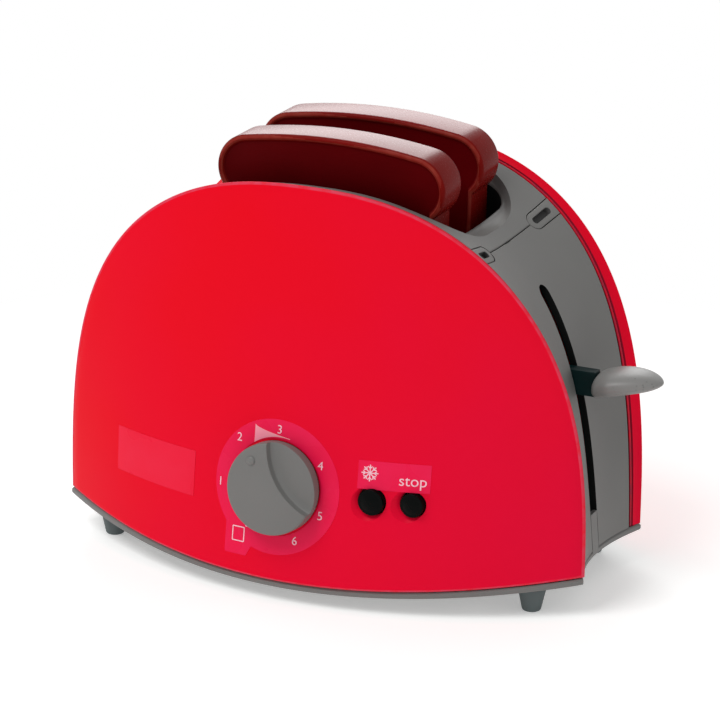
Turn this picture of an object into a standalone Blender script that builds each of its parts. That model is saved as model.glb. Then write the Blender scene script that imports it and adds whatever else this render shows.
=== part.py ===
"""Toy pop-up toaster: two bowed red panels, grey hollow-sided covers, lever, dial, buttons and toast.

The model is drawn with the panels' lower corners at height zero and the body's middle at
x = y = 0, X along the length (the lever is at +X), Y in depth (the dial is at -Y).
At the end everything is moved so that the origin is under the middle of the whole toaster.
"""
from math import acos, atan2, copysign, cos, hypot, pi, radians, sin

import bmesh
import bpy
from mathutils import Matrix, Vector

MM = 0.001

# Fits
GAP = 0.3 * MM                # between two pieces that touch
RUN = 0.4 * MM                # between a moving piece and its guide
OVERRUN = 2 * MM              # how far a cutter passes the face that it cuts

# Body outline, seen from the front
BODY_LENGTH = 185 * MM        # between a panel's lower corners
BODY_HEIGHT = 121 * MM        # from those corners to the top of the arch
BELLY = 6 * MM                # how far the lower edge hangs in the middle
ARCH_X_POWER = 2.37           # the arch is a superellipse
ARCH_Z_POWER = 2.68

# Body outline, seen from above
END_DEPTH = 54 * MM           # across both panels at the ends
BULGE = 32 * MM               # how far each panel bows out at its foot
TOP_BULGE_SHARE = 0.46        # part of that bow left at the top of the arch
HOLLOW = 6 * MM               # how deep the covers are hollowed between the panels, at foot and top
WAIST_HOLLOW = 3.2 * MM       # how much deeper that is halfway up

# Red panels
PANEL_WALL = 2.4 * MM
PANEL_RIM = 5 * MM            # depth of the rim that turns in all round
PANEL_EDGE = 0.8 * MM         # rounding where face and rim meet
DOME_CENTRE = 45 * MM         # height that the panel's mesh rings close in on
ARCH_STEPS = 48
FOOT_STEPS = 14               # along a panel's lower edge and the base's rim

# Toast
SLICE_THICKNESS = 14.6 * MM
SLICE_PITCH = 32 * MM
SLICE_DROP = 68 * MM          # from the top of the arch down to a slice's foot
SLICE_HEIGHT = 80 * MM
SLICE_BOTTOM = BODY_HEIGHT - SLICE_DROP
SLICE_TOP = SLICE_BOTTOM + SLICE_HEIGHT
SLICE_HALF_WIDTH = 36 * MM
LOBE_RADIUS = 11.3 * MM
LOBE_OVERHANG = 3.8 * MM      # how far the lobes stand out over the sides
LOBE_X = SLICE_HALF_WIDTH + LOBE_OVERHANG - LOBE_RADIUS
LOBE_BELOW_TOP = 13.7 * MM
LOBE_Z = SLICE_TOP - LOBE_BELOW_TOP
LOBE_FROM = radians(-48)
LOBE_TO = radians(82)
SLICE_FOOT_RADIUS = 5 * MM
CRUST = 2.6 * MM
CRUST_ROUND = 1.8 * MM
CRUST_STEP = 1 * MM           # how far the face lies below the crust

# Grey covers
COVER_WALL = 2.4 * MM
COVER_STEPS_ACROSS = 10
COVER_STEPS_UP = 10
SLOT_WIDTH = 6 * MM

# Toast opening, in arch positions
OPENING_END_ROOM = 10 * MM    # from a slice's side to the opening's end
OPENING_SIDE_ROOM = 4.2 * MM  # from a slice's outer face to the opening's side
OPENING_LENGTH = 2 * (SLICE_HALF_WIDTH + OPENING_END_ROOM)
OPENING_DEPTH = SLICE_PITCH + SLICE_THICKNESS + 2 * OPENING_SIDE_ROOM
OPENING_CORNER = 9.5 * MM
DISH_END_BORDER = 6 * MM
DISH_SIDE_BORDER = 3 * MM
DISH_LENGTH = OPENING_LENGTH + 2 * DISH_END_BORDER
DISH_DEPTH = OPENING_DEPTH + 2 * DISH_SIDE_BORDER
DISH_CORNER = 24 * MM
DISH_DROP = 3.2 * MM
DISH_MID_SHARE = 0.45          # place of the dish's middle ring, and how far it has fallen by there
DISH_MID_DROP_SHARE = 0.72
SEAM_BORDER = 5 * MM          # from the dish to the seam between roof and end cover
SEAM_X = DISH_LENGTH / 2 + SEAM_BORDER
LIP_DEPTH = 6.5 * MM          # how far the opening's wall reaches into the body
CORNER_STEPS = 6
LONG_STEPS = 6
SHORT_STEPS = 4

# Cover clips
CLIP_INNER_Y = 17.5 * MM
CLIP_WIDTH = 6.8 * MM
CLIP_SLOT_WIDTH = 2.6 * MM
CLIP_SLOT_MARGIN = 2.4 * MM
CLIP_SLOT_DEPTH = 1.1 * MM
CLIP_HOOK = 1.5 * MM          # thickness of the hook under the panel's rim
CLIP_HOOK_REACH = 1.9 * MM
CLIP_HOOK_GAP = 0.6 * MM      # between the hook and the rim above it
CLIP_END_STEPS = 6

# Base
BASE_RIM = 2.2 * MM
LIP_INSET = 6.4 * MM
LIP_END_INSET = 8.5 * MM
LIP_WALL = 1.6 * MM
LIP_HEIGHT = 5 * MM
BASE_END_STEPS = 6

# Feet
FOOT_FROM_END = 17 * MM
FOOT_X = BODY_LENGTH / 2 - FOOT_FROM_END
FOOT_SPREAD = 1 * MM          # how far a foot's middle lies outside the end of the panel
FOOT_Y = END_DEPTH / 2 + FOOT_SPREAD
FOOT_TOP_RADIUS = 4.7 * MM
FOOT_TOE_RADIUS = 3.2 * MM
FOOT_TOE_ROUND = 0.8 * MM
FOOT_CLEARANCE = 5 * MM       # under the base's lowest place
FLOOR = -(BELLY + GAP + BASE_RIM + FOOT_CLEARANCE)
SPIGOT_RADIUS = 2 * MM
SPIGOT_HEIGHT = 1.8 * MM

# Screws
SCREW_RADIUS = 1.2 * MM
SCREW_HEAD_RADIUS = 2.8 * MM
SCREW_HEAD = 1.8 * MM
SCREW_LENGTH = 12 * MM
SCREW_SLOT = 0.8 * MM
POST_RADIUS = 3.2 * MM
POST_HEIGHT = 20 * MM
RIB_WALL = 2 * MM
COVER_POST_FROM_END = 17.5 * MM
COVER_POST_X = BODY_LENGTH / 2 - COVER_POST_FROM_END
COVER_POST_FROM_PANEL = 12 * MM
COVER_POST_Y = END_DEPTH / 2 - COVER_POST_FROM_PANEL
POST_SPACING = 17 * MM
PANEL_POST_X = COVER_POST_X - POST_SPACING
PANEL_POST_INSET = 12.5 * MM

# Lift
ROD_ROOM = 10 * MM            # from a slice's side to the rod
ROD_X = SLICE_HALF_WIDTH + ROD_ROOM
ROD_RADIUS = 2 * MM
ROD_FOOT = 2 * MM             # how deep the rod sits in its sockets
ROD_BELOW_ROOF = 2.5 * MM
SOCKET_WALL = 1.6 * MM
SLEEVE_RADIUS = 4 * MM
SLEEVE_RISE = 9 * MM          # above the slices' feet
SLEEVE_TOP = SLICE_BOTTOM + SLEEVE_RISE
RACK_FLOOR = 2.2 * MM
RACK_WALL = 1.4 * MM
RACK_WALL_HEIGHT = 4.4 * MM
RACK_BEAM = 4.6 * MM          # height of the cross beams
SPRING_RADIUS = 3.4 * MM
SPRING_WIRE = 0.45 * MM       # half the wire's thickness
SPRING_TURNS = 8

# Lever
ARM_HEIGHT = 8.3 * MM
ARM_BELOW_SLICE = 1.1 * MM
ARM_BOTTOM = SLICE_BOTTOM - ARM_BELOW_SLICE
ARM_TOP = ARM_BOTTOM + ARM_HEIGHT
ARM_THICKNESS = 4.4 * MM
ARM_SHORT_OF_END = 7.5 * MM   # from the arm's shoulder to the panels' corner
ARM_END = BODY_LENGTH / 2 - ARM_SHORT_OF_END
ARM_TENON = 7 * MM
ARM_TENON_SHOULDER = 1.3 * MM
KNOB_START = ARM_END + GAP
KNOB_LENGTH = 21.8 * MM
KNOB_WIDTH = 19 * MM
KNOB_THICKNESS = 8.6 * MM
KNOB_RISE = 2.4 * MM
KNOB_Z = (ARM_BOTTOM + ARM_TOP) / 2

# Buttons
STOP_FROM_END = 50.2 * MM
BUTTON_SPACING = 12.8 * MM
STOP_X = BODY_LENGTH / 2 - STOP_FROM_END
DEFROST_X = STOP_X - BUTTON_SPACING
BUTTON_Z = 24 * MM
STOP_RADIUS = 3.9 * MM
DEFROST_RADIUS = 4.3 * MM
BUTTON_PROUD = 1.8 * MM
BUTTON_EDGE = 0.7 * MM
BUTTON_TRAVEL = 2.5 * MM
TUBE_WALL = 1.4 * MM
TUBE_TO_ROCKER = 8.5 * MM
FLANGE = 1.2 * MM
FLANGE_LEDGE = 0.9 * MM
STEM_RADIUS = 1.5 * MM

# Dial and its timer
DIAL_TO_BUTTON = 31.5 * MM
DIAL_X = DEFROST_X - DIAL_TO_BUTTON
DIAL_Z = 25 * MM
DIAL_RADIUS = 15 * MM
DIAL_HEIGHT = 6.4 * MM
DIAL_EDGE = 0.8 * MM
DIAL_DRAFT = 0.5 * MM
SCOOP_RADIUS = 23 * MM
SCOOP_X = 21.3 * MM
SCOOP_Z = 15.2 * MM
SCOOP_DEPTH = 2.6 * MM
DIAL_REST = radians(-40)      # where the mark points, from straight up
DOT_REACH = 10.9 * MM
DOT_RADIUS = 1.5 * MM
SHAFT_RADIUS = 2.5 * MM
SHAFT_SOCKET = 3.4 * MM
TIMER_WIDTH = 30 * MM
TIMER_DEPTH = 13 * MM
TIMER_STANDOFF = 8 * MM       # from the panel's outer face to the timer's front
TIMER_CORNER = 4 * MM
TIMER_SCREW = 11 * MM         # screw places, right and left, up and down of the shaft
TIMER_EAR = 3 * MM            # how far the screw shank reaches in front of the timer

# Catch on the carriage, which the latch's nose holds down
CATCH_WIDTH = 5 * MM
CATCH_DROP = 5.2 * MM         # from the rack's underside to the tooth's
CATCH_TOOTH = 1.5 * MM
CATCH_LEG = 3 * MM            # how far the leg stands out from the rack
CATCH_REACH = 2.2 * MM        # how far the tooth stands out from the leg
RACK_EDGE = SLICE_PITCH / 2 + SLICE_THICKNESS / 2 + GAP + RACK_WALL
CATCH_LEG_Y = -(RACK_EDGE + CATCH_LEG)
CATCH_TOOTH_Y = CATCH_LEG_Y - CATCH_REACH

# Rockers behind the buttons
NOSE_CLEARANCE = 0.4 * MM     # from the latch's nose to the catch's leg
NOSE_REACH = 4.6 * MM
NOSE_HEIGHT = 1.5 * MM
NOSE_END_Y = CATCH_LEG_Y - NOSE_CLEARANCE
ROCKER_Y = NOSE_END_Y - NOSE_REACH
ROCKER_LEG = 7.5 * MM         # from the pivot to the button's axis, and down to the nose
ROCKER_Z = BUTTON_Z - ROCKER_LEG
ROCKER_WALL = 2.2 * MM
ROCKER_WIDTH = 5 * MM
ROCKER_HEAD = 2.6 * MM        # above the button's axis
ROCKER_TOP = BUTTON_Z + ROCKER_HEAD
ROCKER_HUB = 2.6 * MM
ROCKER_ARM = 8 * MM           # reach of the arm that the spring pulls
NOSE_BOTTOM = ROCKER_Z - ROCKER_LEG
TUBE_END_Y = ROCKER_Y - TUBE_TO_ROCKER
PIN_RADIUS = 1 * MM
PIN_CLEAR = 0.2 * MM
EAR_WALL = 2.4 * MM
EAR_CAP = 2.9 * MM            # above the pin's axis
EAR_TOP = ROCKER_Z + EAR_CAP
EAR_DEPTH = 5 * MM
RETURN_SPRING_RADIUS = 1.8 * MM
RETURN_SPRING_WIRE = 0.3 * MM
RETURN_SPRING_TURNS = 6

# Travel
CATCH_ROOM = 0.4 * MM         # left over the latch's nose at the lower end
SLOT_ROOM = 2 * MM            # left over the arm at the upper end
TONGUE_ROOM = 5 * MM          # left under the arm at the lower end
LIFT_UP = 24 * MM
LIFT_DOWN = SLICE_BOTTOM - GAP - RACK_FLOOR - CATCH_DROP - NOSE_BOTTOM - NOSE_HEIGHT - CATCH_ROOM
SLOT_TOP = ARM_TOP + LIFT_UP + SLOT_ROOM
TONGUE_TOP = ARM_BOTTOM - LIFT_DOWN - TONGUE_ROOM   # the base's tongue closes the slot up to here

RED = (0.78, 0.012, 0.026, 1)
GREY = (0.20, 0.20, 0.19, 1)
PALE_GREY = (0.42, 0.42, 0.40, 1)
DARK_GREY = (0.06, 0.065, 0.065, 1)
BLACK = (0.012, 0.012, 0.014, 1)
TOAST_BROWN = (0.13, 0.012, 0.010, 1)
STEEL = (0.55, 0.55, 0.56, 1)
IVORY = (0.55, 0.52, 0.44, 1)


# Body surfaces

def half_depth(x, z):
    """Distance from the middle plane to a panel's outer face."""
    u = x / (BODY_LENGTH / 2)
    rise = z / BODY_HEIGHT
    return END_DEPTH / 2 + BULGE * (1 - u * u) * (1 - (1 - TOP_BULGE_SHARE) * rise)


def foot_line(x):
    """Height of the panels' lower edge."""
    u = x / (BODY_LENGTH / 2)
    return -BELLY * (1 - u * u)


def arch_point(turn):
    """The arch in the X-Z plane: turn 0 is the right-hand corner, 1 the left-hand one."""
    c, s = cos(pi * turn), max(sin(pi * turn), 0)
    x = BODY_LENGTH / 2 * copysign(abs(c) ** (2 / ARCH_X_POWER), c)
    return x, BODY_HEIGHT * s ** (2 / ARCH_Z_POWER)


def arch_normal(turn):
    """Outward direction of the arch."""
    step = 1e-4
    x0, z0 = arch_point(max(turn - step, 0))
    x1, z1 = arch_point(min(turn + step, 1))
    length = hypot(x1 - x0, z1 - z0)
    return (z1 - z0) / length, -(x1 - x0) / length


def arch_turn(x):
    """The turn at which the arch passes x."""
    share = x / (BODY_LENGTH / 2)
    return acos(copysign(abs(share) ** (ARCH_X_POWER / 2), share)) / pi


def hollow_at(z):
    """Depth of the covers' hollow at a height."""
    up = 2 * z / BODY_HEIGHT - 1
    return HOLLOW + WAIST_HOLLOW * max(1 - up * up, 0)


def grey_point(turn, y, depth=0):
    """A point of the hollowed surface between the panels, or depth below it."""
    x, z = arch_point(turn)
    nx, nz = arch_normal(turn)
    across = y / half_depth(x, z)
    sink = hollow_at(z) * (1 - across * across) + depth
    return Vector((x - nx * sink, y, z - nz * sink))


def cover_edge(turn):
    """Distance from the middle plane at which a cover meets the panel's rim."""
    return half_depth(*arch_point(turn)) - PANEL_RIM - GAP


# Mesh making

def new_object(name, bm, color, roughness=0.45, metallic=0):
    """Turn a finished bmesh into an object with its own material."""
    bmesh.ops.recalc_face_normals(bm, faces=bm.faces)
    mesh = bpy.data.meshes.new(name)
    bm.to_mesh(mesh)
    bm.free()
    obj = bpy.data.objects.new(name, mesh)
    bpy.context.scene.collection.objects.link(obj)
    if color:
        material = bpy.data.materials.new(name)
        material.use_nodes = True
        shader = material.node_tree.nodes["Principled BSDF"]
        shader.inputs["Base Color"].default_value = color
        shader.inputs["Roughness"].default_value = roughness
        shader.inputs["Metallic"].default_value = metallic
        mesh.materials.append(material)
    mesh.shade_smooth()
    mesh.set_sharp_from_angle(angle=radians(35))
    return obj


def loft(loops, close_start=None, close_end=None, ring=False):
    """Skin closed loops of equally many points. A centre point closes an end, or a flat face."""
    bm = bmesh.new()
    rows = [[bm.verts.new(point) for point in loop] for loop in loops]
    count = len(rows[0])
    pairs = list(zip(rows, rows[1:]))
    if ring:
        pairs.append((rows[-1], rows[0]))
    for a, b in pairs:
        for i in range(count):
            j = (i + 1) % count
            bm.faces.new((a[i], a[j], b[j], b[i]))
    if not ring:
        for row, centre in ((rows[0], close_start), (rows[-1], close_end)):
            if centre is None:
                bm.faces.new(row)
                continue
            hub = bm.verts.new(centre)
            for i in range(count):
                bm.faces.new((row[i], row[(i + 1) % count], hub))
    return bm


def turned(profile, segments=32, matrix=None):
    """A solid of revolution about Z from (radius, height) points; the ends lie on flat faces."""
    loops = []
    for radius, height in profile:
        loops.append([Vector((radius * cos(2 * pi * i / segments), radius * sin(2 * pi * i / segments), height))
                      for i in range(segments)])
    bm = loft(loops)
    if matrix:
        bmesh.ops.transform(bm, matrix=matrix, verts=bm.verts)
    return bm


def block(low, high):
    """A box between two corners."""
    bm = bmesh.new()
    bmesh.ops.create_cube(bm, size=1)
    size = [b - a for a, b in zip(low, high)]
    middle = [(a + b) / 2 for a, b in zip(low, high)]
    matrix = Matrix.Translation(middle) @ Matrix.Diagonal((*size, 1))
    bmesh.ops.transform(bm, matrix=matrix, verts=bm.verts)
    return bm


def extruded(points, x0, x1):
    """A prism along X over an outline of (y, z) points."""
    return loft([[Vector((x, y, z)) for y, z in points] for x in (x0, x1)])


def boolean(obj, bm, operation):
    """Cut a bmesh from the object, or weld it on."""
    tool = new_object("tool", bm, None)
    modifier = obj.modifiers.new(operation, "BOOLEAN")
    modifier.operation = operation
    modifier.object = tool
    graph = bpy.context.evaluated_depsgraph_get()
    result = bpy.data.meshes.new_from_object(obj.evaluated_get(graph))
    obj.modifiers.clear()
    old = obj.data
    obj.data = result
    bpy.data.meshes.remove(old)
    used = tool.data
    bpy.data.objects.remove(tool)
    bpy.data.meshes.remove(used)


def cut(obj, bm):
    boolean(obj, bm, "DIFFERENCE")


def weld(obj, bm):
    boolean(obj, bm, "UNION")


def upright(radius, x, y, z0, z1, segments=16):
    """A plain vertical cylinder."""
    return turned([(radius, z0), (radius, z1)], segments, Matrix.Translation((x, y, 0)))


def coil(radius, wire, turns, z0, z1, x, y, points_per_turn=9):
    """A helical spring as one tube whose ends lie within z0 and z1."""
    curve = bpy.data.curves.new("coil", "CURVE")
    curve.dimensions = "3D"
    curve.bevel_depth = wire
    curve.bevel_resolution = 1 if points_per_turn > 8 else 0
    curve.use_fill_caps = True
    spline = curve.splines.new("POLY")
    steps = turns * points_per_turn
    spline.points.add(steps)
    rise = (z1 - z0 - 2 * wire) / steps
    print("coil, least gap between turns, mm:", round((rise * points_per_turn - 2 * wire) / MM, 2))
    for i in range(steps + 1):
        angle = 2 * pi * i / points_per_turn
        place = (x + radius * cos(angle), y + radius * sin(angle), z0 + wire + rise * i)
        spline.points[i].co = (*place, 1)
    holder = bpy.data.objects.new("coil", curve)
    bpy.context.scene.collection.objects.link(holder)
    graph = bpy.context.evaluated_depsgraph_get()
    bm = bmesh.new()
    bm.from_mesh(bpy.data.meshes.new_from_object(holder.evaluated_get(graph)))
    bmesh.ops.remove_doubles(bm, verts=bm.verts, dist=wire / 100)
    bpy.data.objects.remove(holder)
    return bm


# Panels

def panel_outline():
    """Once round a panel: x, z, the arch's normal, and whether the point is on arch and foot."""
    points = []
    for i in range(ARCH_STEPS + 1):
        x, z = arch_point(i / ARCH_STEPS)
        nx, nz = arch_normal(i / ARCH_STEPS)
        points.append((x, z, nx, nz, 1 if i in (0, ARCH_STEPS) else 0))
    for i in range(1, FOOT_STEPS):
        x = BODY_LENGTH * (i / FOOT_STEPS - 1 / 2)
        points.append((x, foot_line(x), 0, 0, 1))
    return points


def panel(name, side):
    """A bowed shell with a rim turned in all round. side is -1 in front and 1 behind."""
    outline = panel_outline()

    def ring(arch_inset, foot_inset, share, depth_of):
        loop = []
        for x, z, nx, nz, foot in outline:
            px = (x - nx * arch_inset(x, z)) * share
            pz = DOME_CENTRE + (z - nz * arch_inset(x, z) + foot_inset * foot - DOME_CENTRE) * share
            loop.append(Vector((px, side * depth_of(x, z, px, pz), pz)))
        return loop

    def none(x, z):
        return 0

    def edge(x, z):
        return PANEL_EDGE

    def rim_sink(x, z):
        share = (half_depth(x, z) - PANEL_RIM) / half_depth(x, z)
        return hollow_at(z) * (1 - share * share)

    def rim_under(x, z):
        return rim_sink(x, z) + PANEL_WALL

    def wall(x, z):
        return PANEL_WALL

    def face(x, z, px, pz):
        return half_depth(px, pz)

    def inside(x, z, px, pz):
        return half_depth(px, pz) - PANEL_WALL

    loops = [ring(none, 0, share, face) for share in (0.35, 0.62, 0.84)]
    loops.append(ring(edge, PANEL_EDGE, 1, face))
    loops.append(ring(none, 0, 1, lambda x, z, px, pz: half_depth(x, z) - PANEL_EDGE))
    loops.append(ring(rim_sink, 0, 1, lambda x, z, px, pz: half_depth(x, z) - PANEL_RIM))
    loops.append(ring(rim_under, PANEL_WALL, 1, lambda x, z, px, pz: half_depth(px, pz) - PANEL_RIM))
    loops.append(ring(wall, PANEL_WALL, 1, inside))
    loops += [ring(wall, PANEL_WALL, share, inside) for share in (0.84, 0.5)]
    centre = Vector((0, side * half_depth(0, DOME_CENTRE), DOME_CENTRE))
    behind = Vector((0, side * (half_depth(0, DOME_CENTRE) - PANEL_WALL), DOME_CENTRE))
    obj = new_object(name, loft(loops, centre, behind), RED, 0.28)
    for x in (-PANEL_POST_X, PANEL_POST_X):
        add_panel_post(obj, x, side)
    return obj


def panel_post_y(x):
    """Where the panel's screw post stands, from the middle plane."""
    return half_depth(x, 0) - PANEL_POST_INSET


def add_panel_post(obj, x, side):
    """A screw post behind the panel, and the rib that ties it to the panel."""
    foot = foot_line(x)
    y = side * panel_post_y(x)
    reach = side * (half_depth(x, POST_HEIGHT) - PANEL_WALL / 2)
    weld(obj, block((x - RIB_WALL / 2, min(y, reach), foot + LIP_HEIGHT + GAP),
                    (x + RIB_WALL / 2, max(y, reach), foot + POST_HEIGHT)))
    weld(obj, upright(POST_RADIUS, x, y, foot + GAP, foot + POST_HEIGHT, 16))
    cut(obj, upright(SCREW_RADIUS + GAP, x, y, foot - OVERRUN, foot + SCREW_LENGTH + GAP, 10))


# Dial placing

def dial_tilt():
    """How far the panel leans back where the dial sits."""
    step = 1 * MM
    fall = half_depth(DIAL_X, DIAL_Z - step) - half_depth(DIAL_X, DIAL_Z + step)
    return atan2(fall, 2 * step)


def dial_frame():
    """Dial space to body space: local Z points out of the panel, local Y up its face."""
    centre = Vector((DIAL_X, -half_depth(DIAL_X, DIAL_Z), DIAL_Z))
    return Matrix.Translation(centre) @ Matrix.Rotation(pi / 2 - dial_tilt(), 4, "X")


def placed(bm, matrix):
    bmesh.ops.transform(bm, matrix=matrix, verts=bm.verts)
    return bm


def along_y(radius, x, z, y0, y1, segments=24):
    """A cylinder along Y."""
    matrix = Matrix.Translation((x, 0, z)) @ Matrix.Rotation(-pi / 2, 4, "X")
    return turned([(radius, y0), (radius, y1)], segments, matrix)


def circle(x, z, radius, segments):
    """Points of a circle in a plane that faces along Y, as (x, z)."""
    return [(x + radius * cos(2 * pi * i / segments), z + radius * sin(2 * pi * i / segments)) for i in range(segments)]


def button_tube(x, radius):
    """A guide tube that starts inside the bowed panel's wall and follows it there."""
    points = circle(x, BUTTON_Z, radius, 24)
    return loft([[Vector((px, PANEL_WALL / 2 - half_depth(px, pz), pz)) for px, pz in points],
                 [Vector((px, TUBE_END_Y, pz)) for px, pz in points]])


def front_panel():
    obj = panel("front_panel", -1)
    frame = dial_frame()
    for sx in (-1, 1):
        place = frame @ Matrix.Translation((sx * TIMER_SCREW, sx * TIMER_SCREW, 0))
        post = turned([(POST_RADIUS, -TIMER_STANDOFF + GAP), (POST_RADIUS, -PANEL_WALL * 0.8)], 16)
        weld(obj, placed(post, place))
        bore = turned([(SCREW_RADIUS + GAP, -TIMER_STANDOFF - OVERRUN),
                       (SCREW_RADIUS + GAP, -TIMER_STANDOFF + TIMER_EAR + GAP)], 10)
        cut(obj, placed(bore, place))
    cut(obj, placed(turned([(SHAFT_RADIUS + RUN, -TIMER_STANDOFF), (SHAFT_RADIUS + RUN, OVERRUN)], 16), frame))
    for x, radius in ((STOP_X, STOP_RADIUS), (DEFROST_X, DEFROST_RADIUS)):
        face_y = -half_depth(x, BUTTON_Z)
        weld(obj, button_tube(x, radius + RUN + TUBE_WALL))
        cut(obj, along_y(radius + RUN, x, BUTTON_Z, face_y - 2 * OVERRUN, TUBE_END_Y + OVERRUN, 24))
    return obj


# Covers

def tab_outline(clearance):
    """The clip's outline as (distance along the arch, distance from the middle plane)."""
    half = CLIP_WIDTH / 2 + clearance
    points = []
    for i in range(CLIP_END_STEPS + 1):
        angle = pi * i / CLIP_END_STEPS
        points.append((half * cos(angle), CLIP_INNER_Y + CLIP_WIDTH / 2 - half * sin(angle)))
    return points


def arch_speed(turn):
    """Length of arch per unit of turn."""
    step = 1e-3
    x0, z0 = arch_point(turn - step)
    x1, z1 = arch_point(turn + step)
    return hypot(x1 - x0, z1 - z0) / (2 * step)


def seam_turn(along=0):
    """The turn that lies a distance down the arch from the seam."""
    seam = arch_turn(SEAM_X)
    return seam - along / arch_speed(seam)


def seam_edge(along, beyond=0):
    """Where the cover ends beside the panel, at a distance along the arch from the seam."""
    return cover_edge(seam_turn(along)) + beyond


def seam_place(side_x, along, y, depth):
    """A point of the grey surface near a seam, or depth below it."""
    point = grey_point(seam_turn(along), y, depth)
    return Vector((side_x * point.x, point.y, point.z))


def tab_prism(side_x, side_y, clearance, beyond, top, bottom):
    """The clip's outline carried from one depth to another."""
    half = CLIP_WIDTH / 2 + clearance
    points = tab_outline(clearance) + [(-half, seam_edge(-half, beyond)), (half, seam_edge(half, beyond))]
    return loft([[seam_place(side_x, a, side_y * y, depth) for a, y in points] for depth in (top, bottom)])


def clip_cutter(side_x, side_y):
    return tab_prism(side_x, side_y, GAP, OVERRUN, -OVERRUN, COVER_WALL + OVERRUN)


def cover_clip(name, side_x, side_y):
    """A tab set into the seam, with a thumb slot, and a hook that reaches under the panel's rim."""
    obj = new_object(name, tab_prism(side_x, side_y, 0, 0, 0, COVER_WALL), GREY, 0.5)
    half = CLIP_SLOT_WIDTH / 2
    inner = CLIP_INNER_Y + CLIP_SLOT_MARGIN + half
    outer = seam_edge(0) - CLIP_SLOT_MARGIN - half
    slot = []
    for end, start in ((inner, pi), (outer, 0)):
        for i in range(CLIP_END_STEPS + 1):
            angle = start + pi * i / CLIP_END_STEPS
            slot.append((half * cos(angle), end + half * sin(angle)))
    cut(obj, loft([[seam_place(side_x, a, side_y * y, depth) for a, y in slot]
                   for depth in (-OVERRUN, CLIP_SLOT_DEPTH)]))
    under = COVER_WALL + CLIP_HOOK_GAP
    neck = half - GAP
    for wide, beyond, top, end in ((neck, -GAP, COVER_WALL - GAP, under + CLIP_HOOK / 2),
                                   (half, CLIP_HOOK_REACH, under, under + CLIP_HOOK)):
        corners = [(wide, inner + wide), (wide, seam_edge(wide, beyond)),
                   (-wide, seam_edge(-wide, beyond)), (-wide, inner + wide)]
        weld(obj, loft([[seam_place(side_x, a, side_y * y, depth) for a, y in corners]
                        for depth in (top, end)]))
    return obj


def end_cover(name, side_x):
    """An end wall: hollow across, following the arch from the base up to the seam."""
    seam = arch_turn(SEAM_X) - GAP / 2 / arch_speed(arch_turn(SEAM_X))
    loops = []
    rows = []
    for i in range(COVER_STEPS_UP + 1):
        turn = seam * i / COVER_STEPS_UP
        rows.append(turn)
    for turn in rows:
        edge = cover_edge(turn)
        loop = []
        across = [edge * (2 * j / COVER_STEPS_ACROSS - 1) for j in range(COVER_STEPS_ACROSS + 1)]
        for depth, ys in ((0, across), (COVER_WALL, across[::-1])):
            for y in ys:
                point = grey_point(turn, y, depth)
                if turn == 0:
                    point.z = foot_line(point.x)
                loop.append(Vector((side_x * point.x, point.y, point.z)))
        loops.append(loop)
    obj = new_object(name, loft(loops), GREY, 0.5)
    for side_y in (-1, 1):
        cut(obj, clip_cutter(side_x, side_y))
        x, y = side_x * COVER_POST_X, side_y * COVER_POST_Y
        foot = foot_line(x)
        inner = grey_point(0, y, COVER_WALL / 2).x
        weld(obj, block((min(x, side_x * inner), y - RIB_WALL / 2, foot_line(inner) + LIP_HEIGHT + GAP),
                        (max(x, side_x * inner), y + RIB_WALL / 2, foot + POST_HEIGHT)))
        weld(obj, upright(POST_RADIUS, x, y, foot + GAP, foot + POST_HEIGHT, 16))
        cut(obj, upright(SCREW_RADIUS + GAP, x, y, foot - OVERRUN, foot + SCREW_LENGTH + GAP, 10))
    return obj


def slot_outline(width, top):
    """The lever slot as (y, z) points with a round upper end, open below."""
    half = width / 2
    points = [(-half, -BELLY - OVERRUN), (half, -BELLY - OVERRUN)]
    for i in range(CLIP_END_STEPS + 1):
        angle = pi * i / CLIP_END_STEPS
        points.append((half * cos(angle), top - half + half * sin(angle)))
    return points


def end_cover_right():
    obj = end_cover("end_cover_right", 1)
    inner = grey_point(arch_turn(SEAM_X), 0, COVER_WALL).x
    cut(obj, extruded(slot_outline(SLOT_WIDTH, SLOT_TOP), inner, BODY_LENGTH / 2 + OVERRUN))
    return obj


def rounded_loop(half_x, half_y, corner):
    """A rounded rectangle, evenly matched point for point whatever its size."""
    points = []
    corners = ((1, 1, 0), (-1, 1, pi / 2), (-1, -1, pi), (1, -1, 3 * pi / 2))
    for index, (sx, sy, start) in enumerate(corners):
        cx, cy = sx * (half_x - corner), sy * (half_y - corner)
        for i in range(CORNER_STEPS + 1):
            angle = start + pi / 2 * i / CORNER_STEPS
            points.append((cx + corner * cos(angle), cy + corner * sin(angle)))
        steps = LONG_STEPS if index % 2 == 0 else SHORT_STEPS
        nx, ny, turn = corners[(index + 1) % 4]
        ex, ey = nx * (half_x - corner) + corner * cos(turn), ny * (half_y - corner) + corner * sin(turn)
        x0, y0 = points[-1]
        for i in range(1, steps):
            points.append((x0 + (ex - x0) * i / steps, y0 + (ey - y0) * i / steps))
    return points


def dish_drop(arch_x):
    """How far the roof lies below the plain hollowed surface, along the middle plane."""
    share = min(max((DISH_LENGTH / 2 - arch_x) / (DISH_LENGTH / 2 - OPENING_LENGTH / 2), 0), 1)
    if share < DISH_MID_SHARE:
        return DISH_DROP * DISH_MID_DROP_SHARE * share / DISH_MID_SHARE
    return DISH_DROP * (1 - (1 - DISH_MID_DROP_SHARE) * (1 - share) / (1 - DISH_MID_SHARE))


def roof_height(x, depth):
    """Height of a layer of the roof above a place on the middle plane."""
    low, high = arch_turn(BODY_LENGTH / 2 * 0.95), 1 / 2
    for _ in range(40):
        middle = (low + high) / 2
        point = grey_point(middle, 0, dish_drop(arch_point(middle)[0]) + depth)
        if point.x > x:
            low = middle
        else:
            high = middle
    return point.z


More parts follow.
